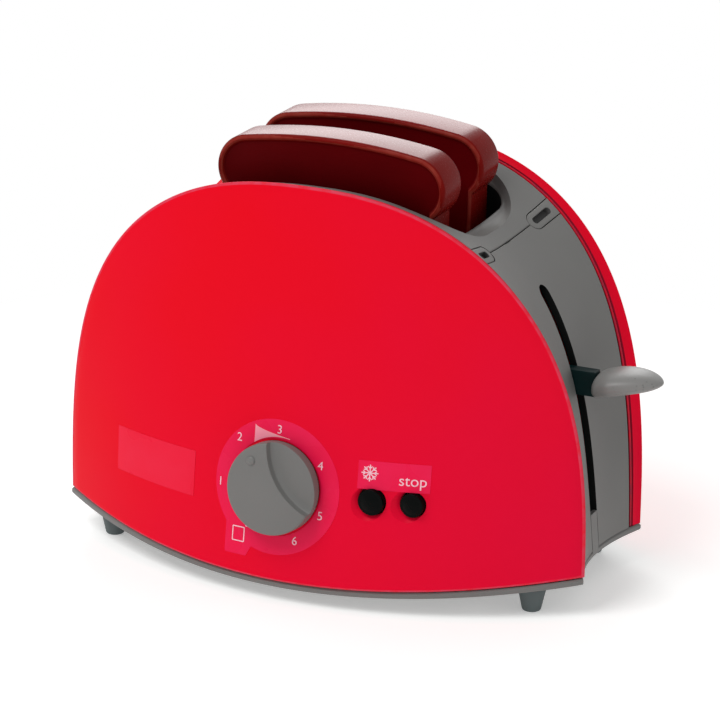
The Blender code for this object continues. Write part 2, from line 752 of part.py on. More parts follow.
def rod_top():
    """Upper end of the guide rods, a little under the roof."""
    return roof_height(ROD_X, COVER_WALL) - ROD_BELOW_ROOF


def rod_boss(side_x):
    """The socket for a rod's upper end: it runs up into the roof, whose slope its top follows."""
    radius = ROD_RADIUS + SOCKET_WALL
    points = circle(side_x * ROD_X, 0, radius, 16)
    bottom = rod_top() - ROD_FOOT * 2
    tops = [roof_height(abs(x), COVER_WALL / 2) for x, _ in points]
    return loft([[Vector((x, y, bottom)) for x, y in points],
                 [Vector((x, y, top)) for (x, y), top in zip(points, tops)]])


def top_cover():
    """The roof: a dished surround that falls to the toast opening, and the lip inside it."""
    seam = arch_turn(SEAM_X) + GAP / 2 / arch_speed(arch_turn(SEAM_X))
    seam_x = arch_point(seam)[0]
    outline = rounded_loop(DISH_LENGTH / 2, DISH_DEPTH / 2, DISH_CORNER)

    def at(points, depth):
        return [grey_point(arch_turn(x), y, depth) for x, y in points]

    def outer_points():
        """The cover's own edge, reached by stretching a rounded rectangle to it."""
        points = []
        for x, y in rounded_loop(1, 1, 1e-3):
            px = seam_x * x
            points.append((px, y * cover_edge(arch_turn(px))))
        return points

    def between(a, b, share):
        return [(ax + (bx - ax) * share, ay + (by - ay) * share) for (ax, ay), (bx, by) in zip(a, b)]

    edge = outer_points()
    opening = rounded_loop(OPENING_LENGTH / 2, OPENING_DEPTH / 2, OPENING_CORNER)
    half_way = between(outline, opening, DISH_MID_SHARE)
    lip = rounded_loop(OPENING_LENGTH / 2 + COVER_WALL, OPENING_DEPTH / 2 + COVER_WALL, OPENING_CORNER + COVER_WALL)
    lip_bottom = grey_point(arch_turn(OPENING_LENGTH / 2), 0, DISH_DROP).z - LIP_DEPTH

    def lowered(points, depth, z):
        return [Vector((p.x, p.y, z)) for p in at(points, depth)]

    loops = [
        at(edge, 0), at(between(edge, outline, 0.5), 0), at(outline, 0),
        at(half_way, DISH_DROP * DISH_MID_DROP_SHARE), at(opening, DISH_DROP),
        lowered(opening, DISH_DROP, lip_bottom), lowered(lip, DISH_DROP, lip_bottom),
        at(lip, DISH_DROP + COVER_WALL), at(between(lip, outline, 0.6), DISH_DROP * 0.6 + COVER_WALL),
        at(outline, COVER_WALL), at(between(edge, outline, 0.5), COVER_WALL), at(edge, COVER_WALL),
    ]
    obj = new_object("top_cover", loft(loops, ring=True), GREY, 0.5)
    for side_x in (-1, 1):
        weld(obj, rod_boss(side_x))
        cut(obj, upright(ROD_RADIUS + GAP / 2, side_x * ROD_X, 0, rod_top() - ROD_FOOT * 2 - OVERRUN, rod_top() + GAP))
        for side_y in (-1, 1):
            cut(obj, clip_cutter(side_x, side_y))
    return obj


# Base

def plan_outline(inset, end_inset):
    """The body's outline from above, drawn in along the panels and at the ends."""
    half = BODY_LENGTH / 2 - end_inset
    depth = END_DEPTH / 2 - inset
    points = []
    for side in (-1, 1):
        for i in range(FOOT_STEPS):
            x = side * half * (1 - 2 * i / FOOT_STEPS)
            points.append((x, side * (half_depth(x, 0) - inset)))
        for i in range(BASE_END_STEPS):
            y = side * depth * (1 - 2 * i / BASE_END_STEPS)
            hollow = HOLLOW * (1 - (y / depth) ** 2)
            points.append((-side * (half - hollow), y))
    return points


def base_top(x):
    return foot_line(x) - GAP


def base_tray():
    """The floor plate under panels and covers, with its locating lip, sockets, tongue and ears."""
    rim = plan_outline(0, 0)

    def sheet(share, drop):
        return [Vector((x * share, y * share, base_top(x * share) - drop)) for x, y in rim]

    shares = (1 / 3, 2 / 3, 1)
    loops = [sheet(share, 0) for share in shares] + [sheet(share, BASE_RIM) for share in shares[::-1]]
    obj = new_object("base_tray", loft(loops, Vector((0, 0, base_top(0))), Vector((0, 0, base_top(0) - BASE_RIM))),
                     GREY, 0.5)
    lip = []
    for wall, height in ((0, -BASE_RIM / 2), (0, LIP_HEIGHT), (LIP_WALL, LIP_HEIGHT), (LIP_WALL, -BASE_RIM / 2)):
        outline = plan_outline(LIP_INSET + wall, LIP_END_INSET + wall)
        lip.append([Vector((x, y, base_top(x) + height)) for x, y in outline])
    weld(obj, loft(lip, ring=True))

    tongue = SLOT_WIDTH - 2 * GAP
    inner = BODY_LENGTH / 2 - HOLLOW - COVER_WALL
    skin = BODY_LENGTH / 2 - HOLLOW * (1 - (tongue / END_DEPTH) ** 2)
    weld(obj, block((inner, -tongue / 2, base_top(inner) - BASE_RIM / 2), (skin, tongue / 2, TONGUE_TOP)))

    for side in (-1, 1):
        x = side * ROD_X
        floor = base_top(x)
        weld(obj, upright(ROD_RADIUS + SOCKET_WALL, x, 0, floor - BASE_RIM / 2, floor + ROD_FOOT))
        cut(obj, upright(ROD_RADIUS + GAP / 2, x, 0, floor, floor + ROD_FOOT + OVERRUN))
    for x in ear_places():
        weld(obj, block((x - EAR_WALL / 2, ROCKER_Y - EAR_DEPTH / 2, base_top(x) - BASE_RIM / 2),
                        (x + EAR_WALL / 2, ROCKER_Y + EAR_DEPTH / 2, EAR_TOP)))
        cut(obj, pin_bore(x - EAR_WALL, x + EAR_WALL))
    for x, y in spring_places():
        floor = base_top(x)
        weld(obj, upright(RETURN_SPRING_RADIUS + SOCKET_WALL, x, y, floor - BASE_RIM / 2, floor + FLANGE))
    for x, y in foot_places():
        cut(obj, upright(SPIGOT_RADIUS + GAP, x, y, FLOOR, base_top(x) + OVERRUN, 12))
    for x, y in screw_places():
        cut(obj, upright(SCREW_RADIUS + GAP, x, y, FLOOR, base_top(x) + OVERRUN, 10))
    return obj


def foot_places():
    return [(sx * FOOT_X, sy * FOOT_Y) for sx in (-1, 1) for sy in (-1, 1)]


def screw_places():
    """The four screws into the end covers, then the four into the panels."""
    places = [(sx * COVER_POST_X, sy * COVER_POST_Y) for sx in (-1, 1) for sy in (-1, 1)]
    return places + [(sx * PANEL_POST_X, sy * panel_post_y(PANEL_POST_X)) for sx in (-1, 1) for sy in (-1, 1)]


def foot(name, x, y):
    """A tapered peg with a spigot in the base."""
    top = base_top(x) - BASE_RIM - BELLY * 2 * FOOT_TOP_RADIUS * abs(x) / (BODY_LENGTH / 2) ** 2 - GAP
    profile = [(FOOT_TOE_RADIUS - FOOT_TOE_ROUND, FLOOR), (FOOT_TOE_RADIUS, FLOOR + FOOT_TOE_ROUND),
               (FOOT_TOP_RADIUS, top), (SPIGOT_RADIUS, top), (SPIGOT_RADIUS, base_top(x) - BASE_RIM + SPIGOT_HEIGHT)]
    return new_object(name, turned(profile, 16, Matrix.Translation((x, y, 0))), DARK_GREY, 0.7)


def screw(name, matrix, length=SCREW_LENGTH):
    """A pan-head screw that points along local +Z, its head's seat at zero."""
    profile = [(SCREW_HEAD_RADIUS * 0.6, -SCREW_HEAD), (SCREW_HEAD_RADIUS, -SCREW_HEAD * 0.5),
               (SCREW_HEAD_RADIUS, 0), (SCREW_RADIUS, 0), (SCREW_RADIUS / 2, length)]
    obj = new_object(name, turned(profile, 10, matrix), STEEL, 0.3, 1)
    slot = block((-SCREW_HEAD_RADIUS * 0.7, -SCREW_SLOT / 2, -SCREW_HEAD - SCREW_SLOT),
                 (SCREW_HEAD_RADIUS * 0.7, SCREW_SLOT / 2, -SCREW_HEAD * 0.5))
    cut(obj, placed(slot, matrix))
    return obj


# Toast

def slice_outline(inset):
    """Bread outline as (x, z), drawn in by inset: straight sides, round lobes, a low crown."""
    side = SLICE_HALF_WIDTH - inset
    bottom = SLICE_BOTTOM + inset
    radius = SLICE_FOOT_RADIUS - inset
    right = []
    for i in range(4):
        angle = -pi / 2 + pi / 2 * i / 3
        right.append((side - radius + radius * cos(angle), bottom + radius + radius * sin(angle)))
    lobe = LOBE_RADIUS - inset
    for i in range(10):
        angle = LOBE_FROM + (LOBE_TO - LOBE_FROM) * i / 9
        right.append((LOBE_X + lobe * cos(angle), LOBE_Z + lobe * sin(angle)))
    x0, z0 = right[-1]
    for i in range(1, 4):
        share = 1 - i / 4
        right.append((x0 * share, SLICE_TOP - inset - (SLICE_TOP - inset - z0) * share * share))
    left = [(-x, z) for x, z in right[::-1]]
    return right + [(0, SLICE_TOP - inset)] + left


def toast_slice(name, y):
    half = SLICE_THICKNESS / 2
    steps = [(CRUST + CRUST_STEP / 2, half - CRUST_STEP), (CRUST, half), (CRUST_ROUND, half),
             (CRUST_ROUND * 0.3, half - CRUST_ROUND * 0.3), (0, half - CRUST_ROUND)]
    loops = [[Vector((x, y - offset, z)) for x, z in slice_outline(inset)] for inset, offset in steps]
    loops += [[Vector((x, y + offset, z)) for x, z in slice_outline(inset)] for inset, offset in steps[::-1]]
    return new_object(name, loft(loops), TOAST_BROWN, 0.4)


# Carriage and lever

def toast_carriage():
    """The rack under both slices, its sleeves on the rods, the lever arm and the catch."""
    floor = SLICE_BOTTOM - GAP
    under = floor - RACK_FLOOR
    trough = SLICE_THICKNESS / 2 + GAP
    beam_x = SLICE_HALF_WIDTH + GAP
    outer_y = RACK_EDGE
    obj = new_object("toast_carriage", block((beam_x, -outer_y, under), (ROD_X - ROD_RADIUS, outer_y, under + RACK_BEAM)),
                     DARK_GREY, 0.6)
    weld(obj, block((-ROD_X + ROD_RADIUS, -outer_y, under), (-beam_x, outer_y, under + RACK_BEAM)))
    for side in (-1, 1):
        y = side * SLICE_PITCH / 2
        weld(obj, block((-beam_x - RACK_WALL, y - trough - RACK_WALL, under), (beam_x + RACK_WALL, y + trough + RACK_WALL, floor)))
        for edge in (-1, 1):
            a, b = sorted((y + edge * trough, y + edge * (trough + RACK_WALL)))
            weld(obj, block((-beam_x - RACK_WALL, a, under + GAP), (beam_x + RACK_WALL, b, floor + RACK_WALL_HEIGHT)))
    for side in (-1, 1):
        weld(obj, upright(SLEEVE_RADIUS, side * ROD_X, 0, under, SLEEVE_TOP, 24))
    weld(obj, block((ROD_X, -ARM_THICKNESS / 2, ARM_BOTTOM), (ARM_END, ARM_THICKNESS / 2, ARM_TOP)))
    tenon = ARM_THICKNESS / 2 - ARM_TENON_SHOULDER / 2
    weld(obj, block((ARM_END - GAP, -tenon, ARM_BOTTOM + ARM_TENON_SHOULDER),
                    (ARM_END + ARM_TENON, tenon, ARM_TOP - ARM_TENON_SHOULDER)))
    for side in (-1, 1):
        cut(obj, upright(ROD_RADIUS + RUN, side * ROD_X, 0, under - OVERRUN, SLEEVE_TOP + OVERRUN, 24))
    x0, x1 = STOP_X - CATCH_WIDTH / 2, STOP_X + CATCH_WIDTH / 2
    tooth = under - CATCH_DROP
    weld(obj, block((x0, CATCH_LEG_Y, tooth), (x1, -outer_y + GAP, under + RACK_BEAM)))
    weld(obj, block((x0, CATCH_TOOTH_Y, tooth), (x1, CATCH_LEG_Y + GAP, tooth + CATCH_TOOTH)))
    return obj


def knob_section(share):
    """Half width, half thickness and middle height of the lever knob at a share of its length."""
    round_off = max(1 - share ** 5, 0) ** 0.5
    start = 0.55 + 0.45 * min(share / 0.45, 1) ** 0.7
    return (KNOB_WIDTH / 2 * start * round_off, KNOB_THICKNESS / 2 * (0.9 + 0.1 * min(share / 0.3, 1)) * round_off,
            KNOB_Z + KNOB_RISE * share)


def lever_knob():
    """A flat pebble pushed on the arm's tenon."""
    loops = []
    for share in (0, 0.06, 0.2, 0.4, 0.6, 0.78, 0.9, 0.965, 0.995):
        wide, thick, middle = knob_section(share)
        if share == 0:
            wide, thick = wide * 0.9, thick * 0.85
        loop = []
        for i in range(28):
            angle = 2 * pi * i / 28
            c, s = cos(angle), sin(angle)
            y = wide * copysign(abs(c) ** 0.8, c)
            z = middle + thick * copysign(abs(s) ** 0.8, s)
            loop.append(Vector((KNOB_START + KNOB_LENGTH * share, y, z)))
        loops.append(loop)
    obj = new_object("lever_knob", loft(loops), PALE_GREY, 0.35)
    tenon = ARM_THICKNESS / 2 - ARM_TENON_SHOULDER / 2 + GAP
    cut(obj, block((KNOB_START - OVERRUN, -tenon, ARM_BOTTOM + ARM_TENON_SHOULDER - GAP),
                   (ARM_END + ARM_TENON + GAP, tenon, ARM_TOP - ARM_TENON_SHOULDER + GAP)))
    return obj


def guide_rod(name, side):
    x = side * ROD_X
    profile = [(ROD_RADIUS * 0.8, base_top(x) + GAP), (ROD_RADIUS, base_top(x) + GAP + ROD_RADIUS * 0.2),
               (ROD_RADIUS, rod_top() - ROD_RADIUS * 0.2), (ROD_RADIUS * 0.8, rod_top())]
    return new_object(name, turned(profile, 16, Matrix.Translation((x, 0, 0))), STEEL, 0.25, 1)


def lift_spring(name, side):
    x = side * ROD_X
    foot_z = base_top(x) + ROD_FOOT + GAP
    bm = coil(SPRING_RADIUS, SPRING_WIRE, SPRING_TURNS, foot_z, SLICE_BOTTOM - GAP - RACK_FLOOR - GAP, x, 0)
    return new_object(name, bm, STEEL, 0.3, 1)


# Dial

def dial_knob():
    """A round knob whose face is scooped on one side, which leaves a curved grip."""
    top = GAP + DIAL_HEIGHT
    profile = [(DIAL_RADIUS - DIAL_DRAFT, GAP), (DIAL_RADIUS, GAP + DIAL_DRAFT), (DIAL_RADIUS, top - DIAL_EDGE),
               (DIAL_RADIUS - DIAL_EDGE * 0.3, top - DIAL_EDGE * 0.3), (DIAL_RADIUS - DIAL_EDGE, top)]
    obj = new_object("dial_knob", turned(profile, 44), GREY, 0.45)
    scoop = Matrix.Translation((SCOOP_X, SCOOP_Z, 0))
    cut(obj, turned([(SCOOP_RADIUS, top - SCOOP_DEPTH), (SCOOP_RADIUS + DIAL_EDGE, top + OVERRUN)], 64, scoop))
    dot = Matrix.Translation((DOT_REACH * sin(DIAL_REST), DOT_REACH * cos(DIAL_REST), top))
    weld(obj, turned([(DOT_RADIUS, -DIAL_EDGE), (DOT_RADIUS, DIAL_EDGE * 0.3), (DOT_RADIUS * 0.7, DIAL_EDGE * 0.75)], 20, dot))
    cut(obj, turned([(SHAFT_RADIUS + GAP, -OVERRUN), (SHAFT_RADIUS + GAP, GAP + SHAFT_SOCKET)], 16))
    obj.data.transform(dial_frame())
    return obj


def dial_shaft():
    profile = [(SHAFT_RADIUS, -TIMER_STANDOFF - SHAFT_SOCKET + GAP), (SHAFT_RADIUS, SHAFT_SOCKET)]
    return new_object("dial_shaft", placed(turned(profile, 20), dial_frame()), STEEL, 0.3, 1)


def timer_case():
    """The closed clockwork box behind the panel."""
    points = rounded_loop(TIMER_WIDTH / 2, TIMER_WIDTH / 2, TIMER_CORNER)
    rear = -TIMER_STANDOFF - TIMER_DEPTH
    slim = 1 - DIAL_EDGE / TIMER_WIDTH
    loops = [[Vector((x * share, y * share, z)) for x, y in points]
             for share, z in ((slim, -TIMER_STANDOFF), (1, -TIMER_STANDOFF - DIAL_EDGE), (1, rear + DIAL_EDGE), (slim, rear))]
    obj = new_object("timer_case", loft(loops), IVORY, 0.5)
    cut(obj, turned([(SHAFT_RADIUS + RUN, -TIMER_STANDOFF - SHAFT_SOCKET), (SHAFT_RADIUS + RUN, 0)], 16))
    for side in (-1, 1):
        place = Matrix.Translation((side * TIMER_SCREW, side * TIMER_SCREW, 0))
        cut(obj, turned([(SCREW_RADIUS + GAP, rear - OVERRUN), (SCREW_RADIUS + GAP, 0)], 10, place))
    obj.data.transform(dial_frame())
    return obj


def timer_screw(name, side):
    rear = -TIMER_STANDOFF - TIMER_DEPTH - GAP
    place = dial_frame() @ Matrix.Translation((side * TIMER_SCREW, side * TIMER_SCREW, rear))
    return screw(name, place, TIMER_DEPTH + TIMER_EAR)


# Buttons and rockers

def button(name, x, radius):
    """A push button: rounded cap, flange behind the guide tube, stem on to its rocker."""
    face_y = -half_depth(x, BUTTON_Z)
    front = face_y - BUTTON_PROUD
    flange_y = TUBE_END_Y + GAP
    tip = ROCKER_Y - ROCKER_WALL / 2 - GAP
    profile = [(radius - BUTTON_EDGE, front), (radius - BUTTON_EDGE * 0.3, front + BUTTON_EDGE * 0.3),
               (radius, front + BUTTON_EDGE), (radius, flange_y), (radius + FLANGE_LEDGE, flange_y),
               (radius + FLANGE_LEDGE, flange_y + FLANGE), (STEM_RADIUS, flange_y + FLANGE),
               (STEM_RADIUS, tip - STEM_RADIUS / 2), (STEM_RADIUS / 2, tip)]
    matrix = Matrix.Translation((x, 0, BUTTON_Z)) @ Matrix.Rotation(-pi / 2, 4, "X")
    return new_object(name, turned(profile, 20, matrix), BLACK, 0.12)


def pin_bore(x0, x1):
    matrix = Matrix.Translation((0, ROCKER_Y, ROCKER_Z)) @ Matrix.Rotation(pi / 2, 4, "Y")
    return turned([(PIN_RADIUS + PIN_CLEAR, x0), (PIN_RADIUS + PIN_CLEAR, x1)], 12, matrix)


def ear_places():
    """The pin's three bearings: beside and between the rockers."""
    gap = ROCKER_WIDTH / 2 + EAR_WALL / 2 + GAP
    return (DEFROST_X - gap, (DEFROST_X + STOP_X) / 2, STOP_X + gap)


def spring_places():
    y = ROCKER_Y - ROCKER_ARM + RETURN_SPRING_RADIUS
    return ((DEFROST_X, y), (STOP_X, y))


def rocker_arm_z():
    """Underside of a rocker's front arm."""
    return ROCKER_Z - ROCKER_HUB - ROCKER_WALL / 2


def rocker(name, x, with_nose):
    """An upright lever on the pin: pushed at its top, pulled back by a spring on its front arm."""
    front, back = ROCKER_Y - ROCKER_WALL / 2, ROCKER_Y + ROCKER_WALL / 2
    low = NOSE_BOTTOM
    outline = [(front, low), (back, low), (back, ROCKER_TOP), (front, ROCKER_TOP)]
    if with_nose:
        outline = [(front, low), (NOSE_END_Y, low), (NOSE_END_Y - NOSE_HEIGHT / 3, low + NOSE_HEIGHT),
                   (back, low + NOSE_HEIGHT), (back, ROCKER_TOP), (front, ROCKER_TOP)]
    x0, x1 = x - ROCKER_WIDTH / 2, x + ROCKER_WIDTH / 2
    obj = new_object(name, extruded(outline, x0, x1), PALE_GREY, 0.5)
    arm_z = rocker_arm_z()
    weld(obj, block((x0, ROCKER_Y - ROCKER_ARM, arm_z), (x1, back - GAP, arm_z + ROCKER_WALL)))
    hub = Matrix.Translation((0, ROCKER_Y, ROCKER_Z)) @ Matrix.Rotation(pi / 2, 4, "Y")
    weld(obj, turned([(ROCKER_HUB, x0), (ROCKER_HUB, x1)], 16, hub))
    cut(obj, pin_bore(x0 - OVERRUN, x1 + OVERRUN))
    return obj


def rocker_pin():
    places = ear_places()
    matrix = Matrix.Translation((0, ROCKER_Y, ROCKER_Z)) @ Matrix.Rotation(pi / 2, 4, "Y")
    ends = (places[0] - EAR_WALL / 2 - GAP, places[-1] + EAR_WALL / 2 + GAP)
    return new_object("rocker_pin", turned([(PIN_RADIUS, end) for end in ends], 14, matrix), STEEL, 0.25, 1)


def return_spring(name, place):
    x, y = place
    foot_z = base_top(x) + FLANGE + GAP
    arm_z = rocker_arm_z() - GAP
    bm = coil(RETURN_SPRING_RADIUS, RETURN_SPRING_WIRE, RETURN_SPRING_TURNS, foot_z, arm_z, x, y, 6)
    return new_object(name, bm, STEEL, 0.3, 1)


# Assembly

def stand_at_origin():
    """Move everything so that the origin lies under the middle of the whole toaster."""
    low, high = Vector((1e9, 1e9, 1e9)), Vector((-1e9, -1e9, -1e9))
    for obj in bpy.context.scene.objects:
        for vertex in obj.data.vertices:
            place = obj.matrix_world @ vertex.co
            low = Vector(map(min, low, place))
            high = Vector(map(max, high, place))
    shift = Vector((-(low.x + high.x) / 2, -(low.y + high.y) / 2, -low.z))
    for obj in bpy.context.scene.objects:
        obj.location += shift
    return shift


def set_origin(obj, place):
    """Put an object's own origin on its joint without moving its mesh."""
    obj.data.transform(Matrix.Translation(-place))
    obj.location = place


def build():
    for obj in list(bpy.data.objects):
        bpy.data.objects.remove(obj)
    front_panel()
    panel("rear_panel", 1)
    top_cover()
    end_cover_right()
    end_cover("end_cover_left", -1)
    base_tray()
    for side_x, hand in ((-1, "left"), (1, "right")):
        for side_y, face in ((-1, "front"), (1, "rear")):
            cover_clip(f"cover_clip_{face}_{hand}", side_x, side_y)
            foot(f"foot_{face}_{hand}", side_x * FOOT_X, side_y * FOOT_Y)
        guide_rod(f"guide_rod_{hand}", side_x)
        lift_spring(f"lift_spring_{hand}", side_x)
    for number, (x, y) in enumerate(screw_places(), 1):
        seat = base_top(x) - BASE_RIM - BELLY * 2 * SCREW_HEAD_RADIUS * abs(x) / (BODY_LENGTH / 2) ** 2 - GAP
        screw(f"base_screw_{number}", Matrix.Translation((x, y, seat)))
    toast_slice("toast_slice_front", -SLICE_PITCH / 2)
    toast_slice("toast_slice_rear", SLICE_PITCH / 2)
    toast_carriage()
    lever_knob()
    dial_origin = Vector((DIAL_X, -half_depth(DIAL_X, DIAL_Z), DIAL_Z))
    set_origin(dial_knob(), dial_origin)
    set_origin(dial_shaft(), dial_origin)
    timer_case()
    timer_screw("timer_screw_1", -1)
    timer_screw("timer_screw_2", 1)
    button("stop_button", STOP_X, STOP_RADIUS)
    button("defrost_button", DEFROST_X, DEFROST_RADIUS)
    pivot = Vector((0, ROCKER_Y, ROCKER_Z))
    set_origin(rocker("latch", STOP_X, True), pivot)
    set_origin(rocker("defrost_rocker", DEFROST_X, False), pivot)
    rocker_pin()
    return_spring("defrost_spring", spring_places()[0])
    return_spring("latch_spring", spring_places()[1])
    print("rod top, mm:", round(rod_top() / MM, 2), "travel down, mm:", round(LIFT_DOWN / MM, 2))
    shift = stand_at_origin()
    print("shift to the origin, mm:", [round(value / MM, 3) for value in shift])
    axis = dial_frame().to_3x3() @ Vector((0, 0, 1))
    print("dial centre, mm:", [round(value / MM, 3) for value in dial_origin + shift], "axis", [round(v, 5) for v in axis])
    print("rocker pivot, mm:", [round(value / MM, 3) for value in pivot + shift])


build()
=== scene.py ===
"""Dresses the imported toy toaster: panels, covers, toast, lever, dial, buttons, prints, finishes and studio.

Run it with Blender as a script. Pieces are drawn in the body's own measures, with the panels' lower
corners at height zero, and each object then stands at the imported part's place.
"""
from math import acos, atan2, copysign, cos, hypot, pi, radians, sin

import bmesh
import bpy
from bpy.props import FloatProperty, FloatVectorProperty, PointerProperty
from mathutils import Matrix, Vector
from mathutils.bvhtree import BVHTree
from mathutils.interpolate import poly_3d_calc


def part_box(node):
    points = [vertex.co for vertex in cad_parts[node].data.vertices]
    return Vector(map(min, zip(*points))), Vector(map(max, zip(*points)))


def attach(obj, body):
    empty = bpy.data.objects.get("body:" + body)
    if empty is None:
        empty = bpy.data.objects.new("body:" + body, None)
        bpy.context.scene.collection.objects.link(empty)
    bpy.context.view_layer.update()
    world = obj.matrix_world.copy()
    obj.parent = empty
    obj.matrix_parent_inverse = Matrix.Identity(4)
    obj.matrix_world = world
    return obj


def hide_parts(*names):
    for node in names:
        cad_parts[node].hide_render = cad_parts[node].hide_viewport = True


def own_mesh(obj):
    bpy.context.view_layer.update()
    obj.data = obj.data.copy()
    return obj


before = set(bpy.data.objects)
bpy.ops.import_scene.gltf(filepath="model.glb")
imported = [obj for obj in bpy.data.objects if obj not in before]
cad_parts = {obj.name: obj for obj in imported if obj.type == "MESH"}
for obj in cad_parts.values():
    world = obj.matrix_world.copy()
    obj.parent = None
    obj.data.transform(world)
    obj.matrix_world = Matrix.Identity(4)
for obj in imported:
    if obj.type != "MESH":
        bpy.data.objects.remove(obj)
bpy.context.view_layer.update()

bl_info = {
    "name": "Toy Toaster Dressing",
    "version": (1, 0, 0),
    "blender": (4, 5, 0),
    "location": "View3D > Sidebar > Toaster",
    "description": "Builds the toaster's visible pieces, finishes and studio round the packed part",
    "category": "Object",
}

PLAY = 0.0003                 # gap between two pieces that touch
PASS = 0.002                  # how far a cutter passes the face that it cuts
HAIR = 0.0001                 # step that keeps a crease sharp
PRINT_LIFT = 0.00004          # print above its film


def length(name, millimetres, description):
    return FloatProperty(name=name, description=description, default=millimetres / 1000, min=0,
                         precision=5, subtype="DISTANCE", unit="LENGTH")


def share(name, default, description):
    return FloatProperty(name=name, description=description, default=default, min=0, precision=3,
                         subtype="FACTOR")


def power(name, default, description):
    return FloatProperty(name=name, description=description, default=default)


def angle(name, degrees, description):
    return FloatProperty(name=name, description=description, default=radians(degrees),
                         subtype="ANGLE", unit="ROTATION")


def colour(name, red, green, blue, description):
    return FloatVectorProperty(name=name, description=description, default=(red, green, blue), size=3,
                               min=0, max=1, subtype="COLOR")


# Sizes

class BodySizes(bpy.types.PropertyGroup):
    body_length: length("Length", 185, "Between a panel's lower corners")
    body_height: length("Height", 121, "From those corners to the top of the arch")
    belly: length("Belly", 6, "How far the lower edge hangs in the middle")
    arch_x_power: power("Arch roundness across", 2.37, "The arch's power along the length")
    arch_z_power: power("Arch roundness up", 2.68, "The arch's power in height")
    end_depth: length("End depth", 54, "Across both panels at the ends")
    bulge: length("Bulge", 32, "How far each panel bows out at its foot")
    top_bulge: share("Bulge kept at the top", 0.46, "Part of the bow that is left at the top of the arch")
    hollow: length("Hollow", 6, "How deep the covers are hollowed between the panels, at foot and top")
    waist_hollow: length("Deeper at the waist", 3.2, "How much deeper that is halfway up")
    panel_wall: length("Panel wall", 2.4, "Thickness of the red shells")
    panel_rim: length("Panel rim", 5, "Depth of the rim that turns in all round")
    panel_edge: length("Panel edge", 0.8, "Rounding between face and rim")
    rim_band: length("Rim band", 0.7, "Between the rim's inner edge and its fine groove")
    rim_groove: length("Rim groove", 0.8, "Depth of the fine groove along the rim, near its inner edge")
    groove_width: length("Groove width", 0.6, "Width of that groove")
    dome_centre: length("Ring centre", 45, "Height that the panel's mesh rings close in on")
    base_rim: length("Base rim", 2.2, "Thickness of the base plate")
    base_edge: length("Base edge", 0.6, "Rounding of the base plate")
    lip_height: length("Base lip height", 5, "Lip on the base that stands inside the shells")
    lip_wall: length("Base lip wall", 1.6, "Thickness of that lip")
    lip_from_side: length("Base lip from the panels", 6.4, "From the base's long edges to that lip")
    lip_from_end: length("Base lip from the ends", 8.5, "From the base's ends to that lip")
    tongue_top: length("Tongue top", 11.6, "Upper end of the base's tongue in the lever slot")
    floor_gap: length("Floor to base", 5, "Free height under the base's lowest place")
    foot_from_end: length("Foot from the end", 17, "From the panels' corner to the middle of a foot")
    foot_spread: length("Foot spread", 1, "How far a foot stands outside the panels' end")
    foot_top: length("Foot radius at the top", 4.7, "Where the foot meets the base")
    foot_toe: length("Foot radius at the toe", 3.2, "Where the foot meets the floor")
    foot_round: length("Foot rounding", 0.8, "Rounding of the toe, and half of that at the top")
    foot_pin: length("Foot pin", 2, "Radius of the pin in the base")


class RoofSizes(bpy.types.PropertyGroup):
    wall: length("Cover wall", 2.4, "Thickness of the grey covers")
    edge: length("Cover edge", 0.3, "Small rounding along the covers' edges")
    opening_length: length("Opening length", 92, "Toast opening, along the arch")
    opening_depth: length("Opening depth", 55, "Toast opening, across")
    opening_corner: length("Opening corner", 9.5, "Rounding of its corners")
    dish_length: length("Dish length", 104, "Dished surround, along the arch")
    dish_depth: length("Dish depth", 61, "Dished surround, across")
    dish_corner: length("Dish corner", 24, "Rounding of its corners")
    dish_drop: length("Dish drop", 3.2, "How far the dish falls to the opening")
    dish_power: power("Dish roundness", 2.1, "How soon the dish falls")
    lip_depth: length("Lip depth", 6.5, "How far the opening's wall reaches down")
    lip_round: length("Lip rounding", 0.9, "Where the dish turns down into the opening")
    seam_x: length("Seam", 57, "From the middle to the seam between roof and end cover")
    clip_inner: length("Clip's inner end", 17.5, "From the middle plane")
    clip_width: length("Clip width", 6.8, "Along the arch")
    clip_slot: length("Clip slot width", 2.6, "Thumb slot in each clip")
    clip_margin: length("Clip slot margin", 2.4, "From the slot to the clip's ends")
    clip_sink: length("Clip slot depth", 1.8, "How deep the thumb slot is")
    lever_slot: length("Lever slot width", 6, "Slot in the right end cover")
    lever_slot_top: length("Lever slot top", 86.2, "Upper end of that slot")


class ToastSizes(bpy.types.PropertyGroup):
    thickness: length("Slice thickness", 14.6, "Across the crust")
    pitch: length("Slice pitch", 32, "Between the middles of the two slices")
    bottom: length("Slice bottom", 53, "Height of a slice's foot")
    height: length("Slice height", 79.2, "From its foot to its crown")
    half_width: length("Slice half width", 36, "To the straight sides")
    lobe_radius: length("Lobe radius", 11.3, "Roundness of the upper corners")
    lobe_overhang: length("Lobe overhang", 3.8, "How far they stand out over the sides")
    lobe_below_top: length("Lobe below the crown", 13.7, "From the crown to the lobes' middle")
    foot_radius: length("Foot rounding", 5, "Rounding of the lower corners")
    crust: length("Crust", 1.7, "Width of the raised rim on the face")
    crust_round: length("Crust rounding", 1.2, "Rounding of the crust's outer edge")
    crust_step: length("Crust step", 1, "How far the face lies below the crust")
    crust_fillet: length("Crust fillet", 0.4, "Rounding between crust and face")
    face_rim: length("Face rim", 6, "Width of the mesh ring round the face")


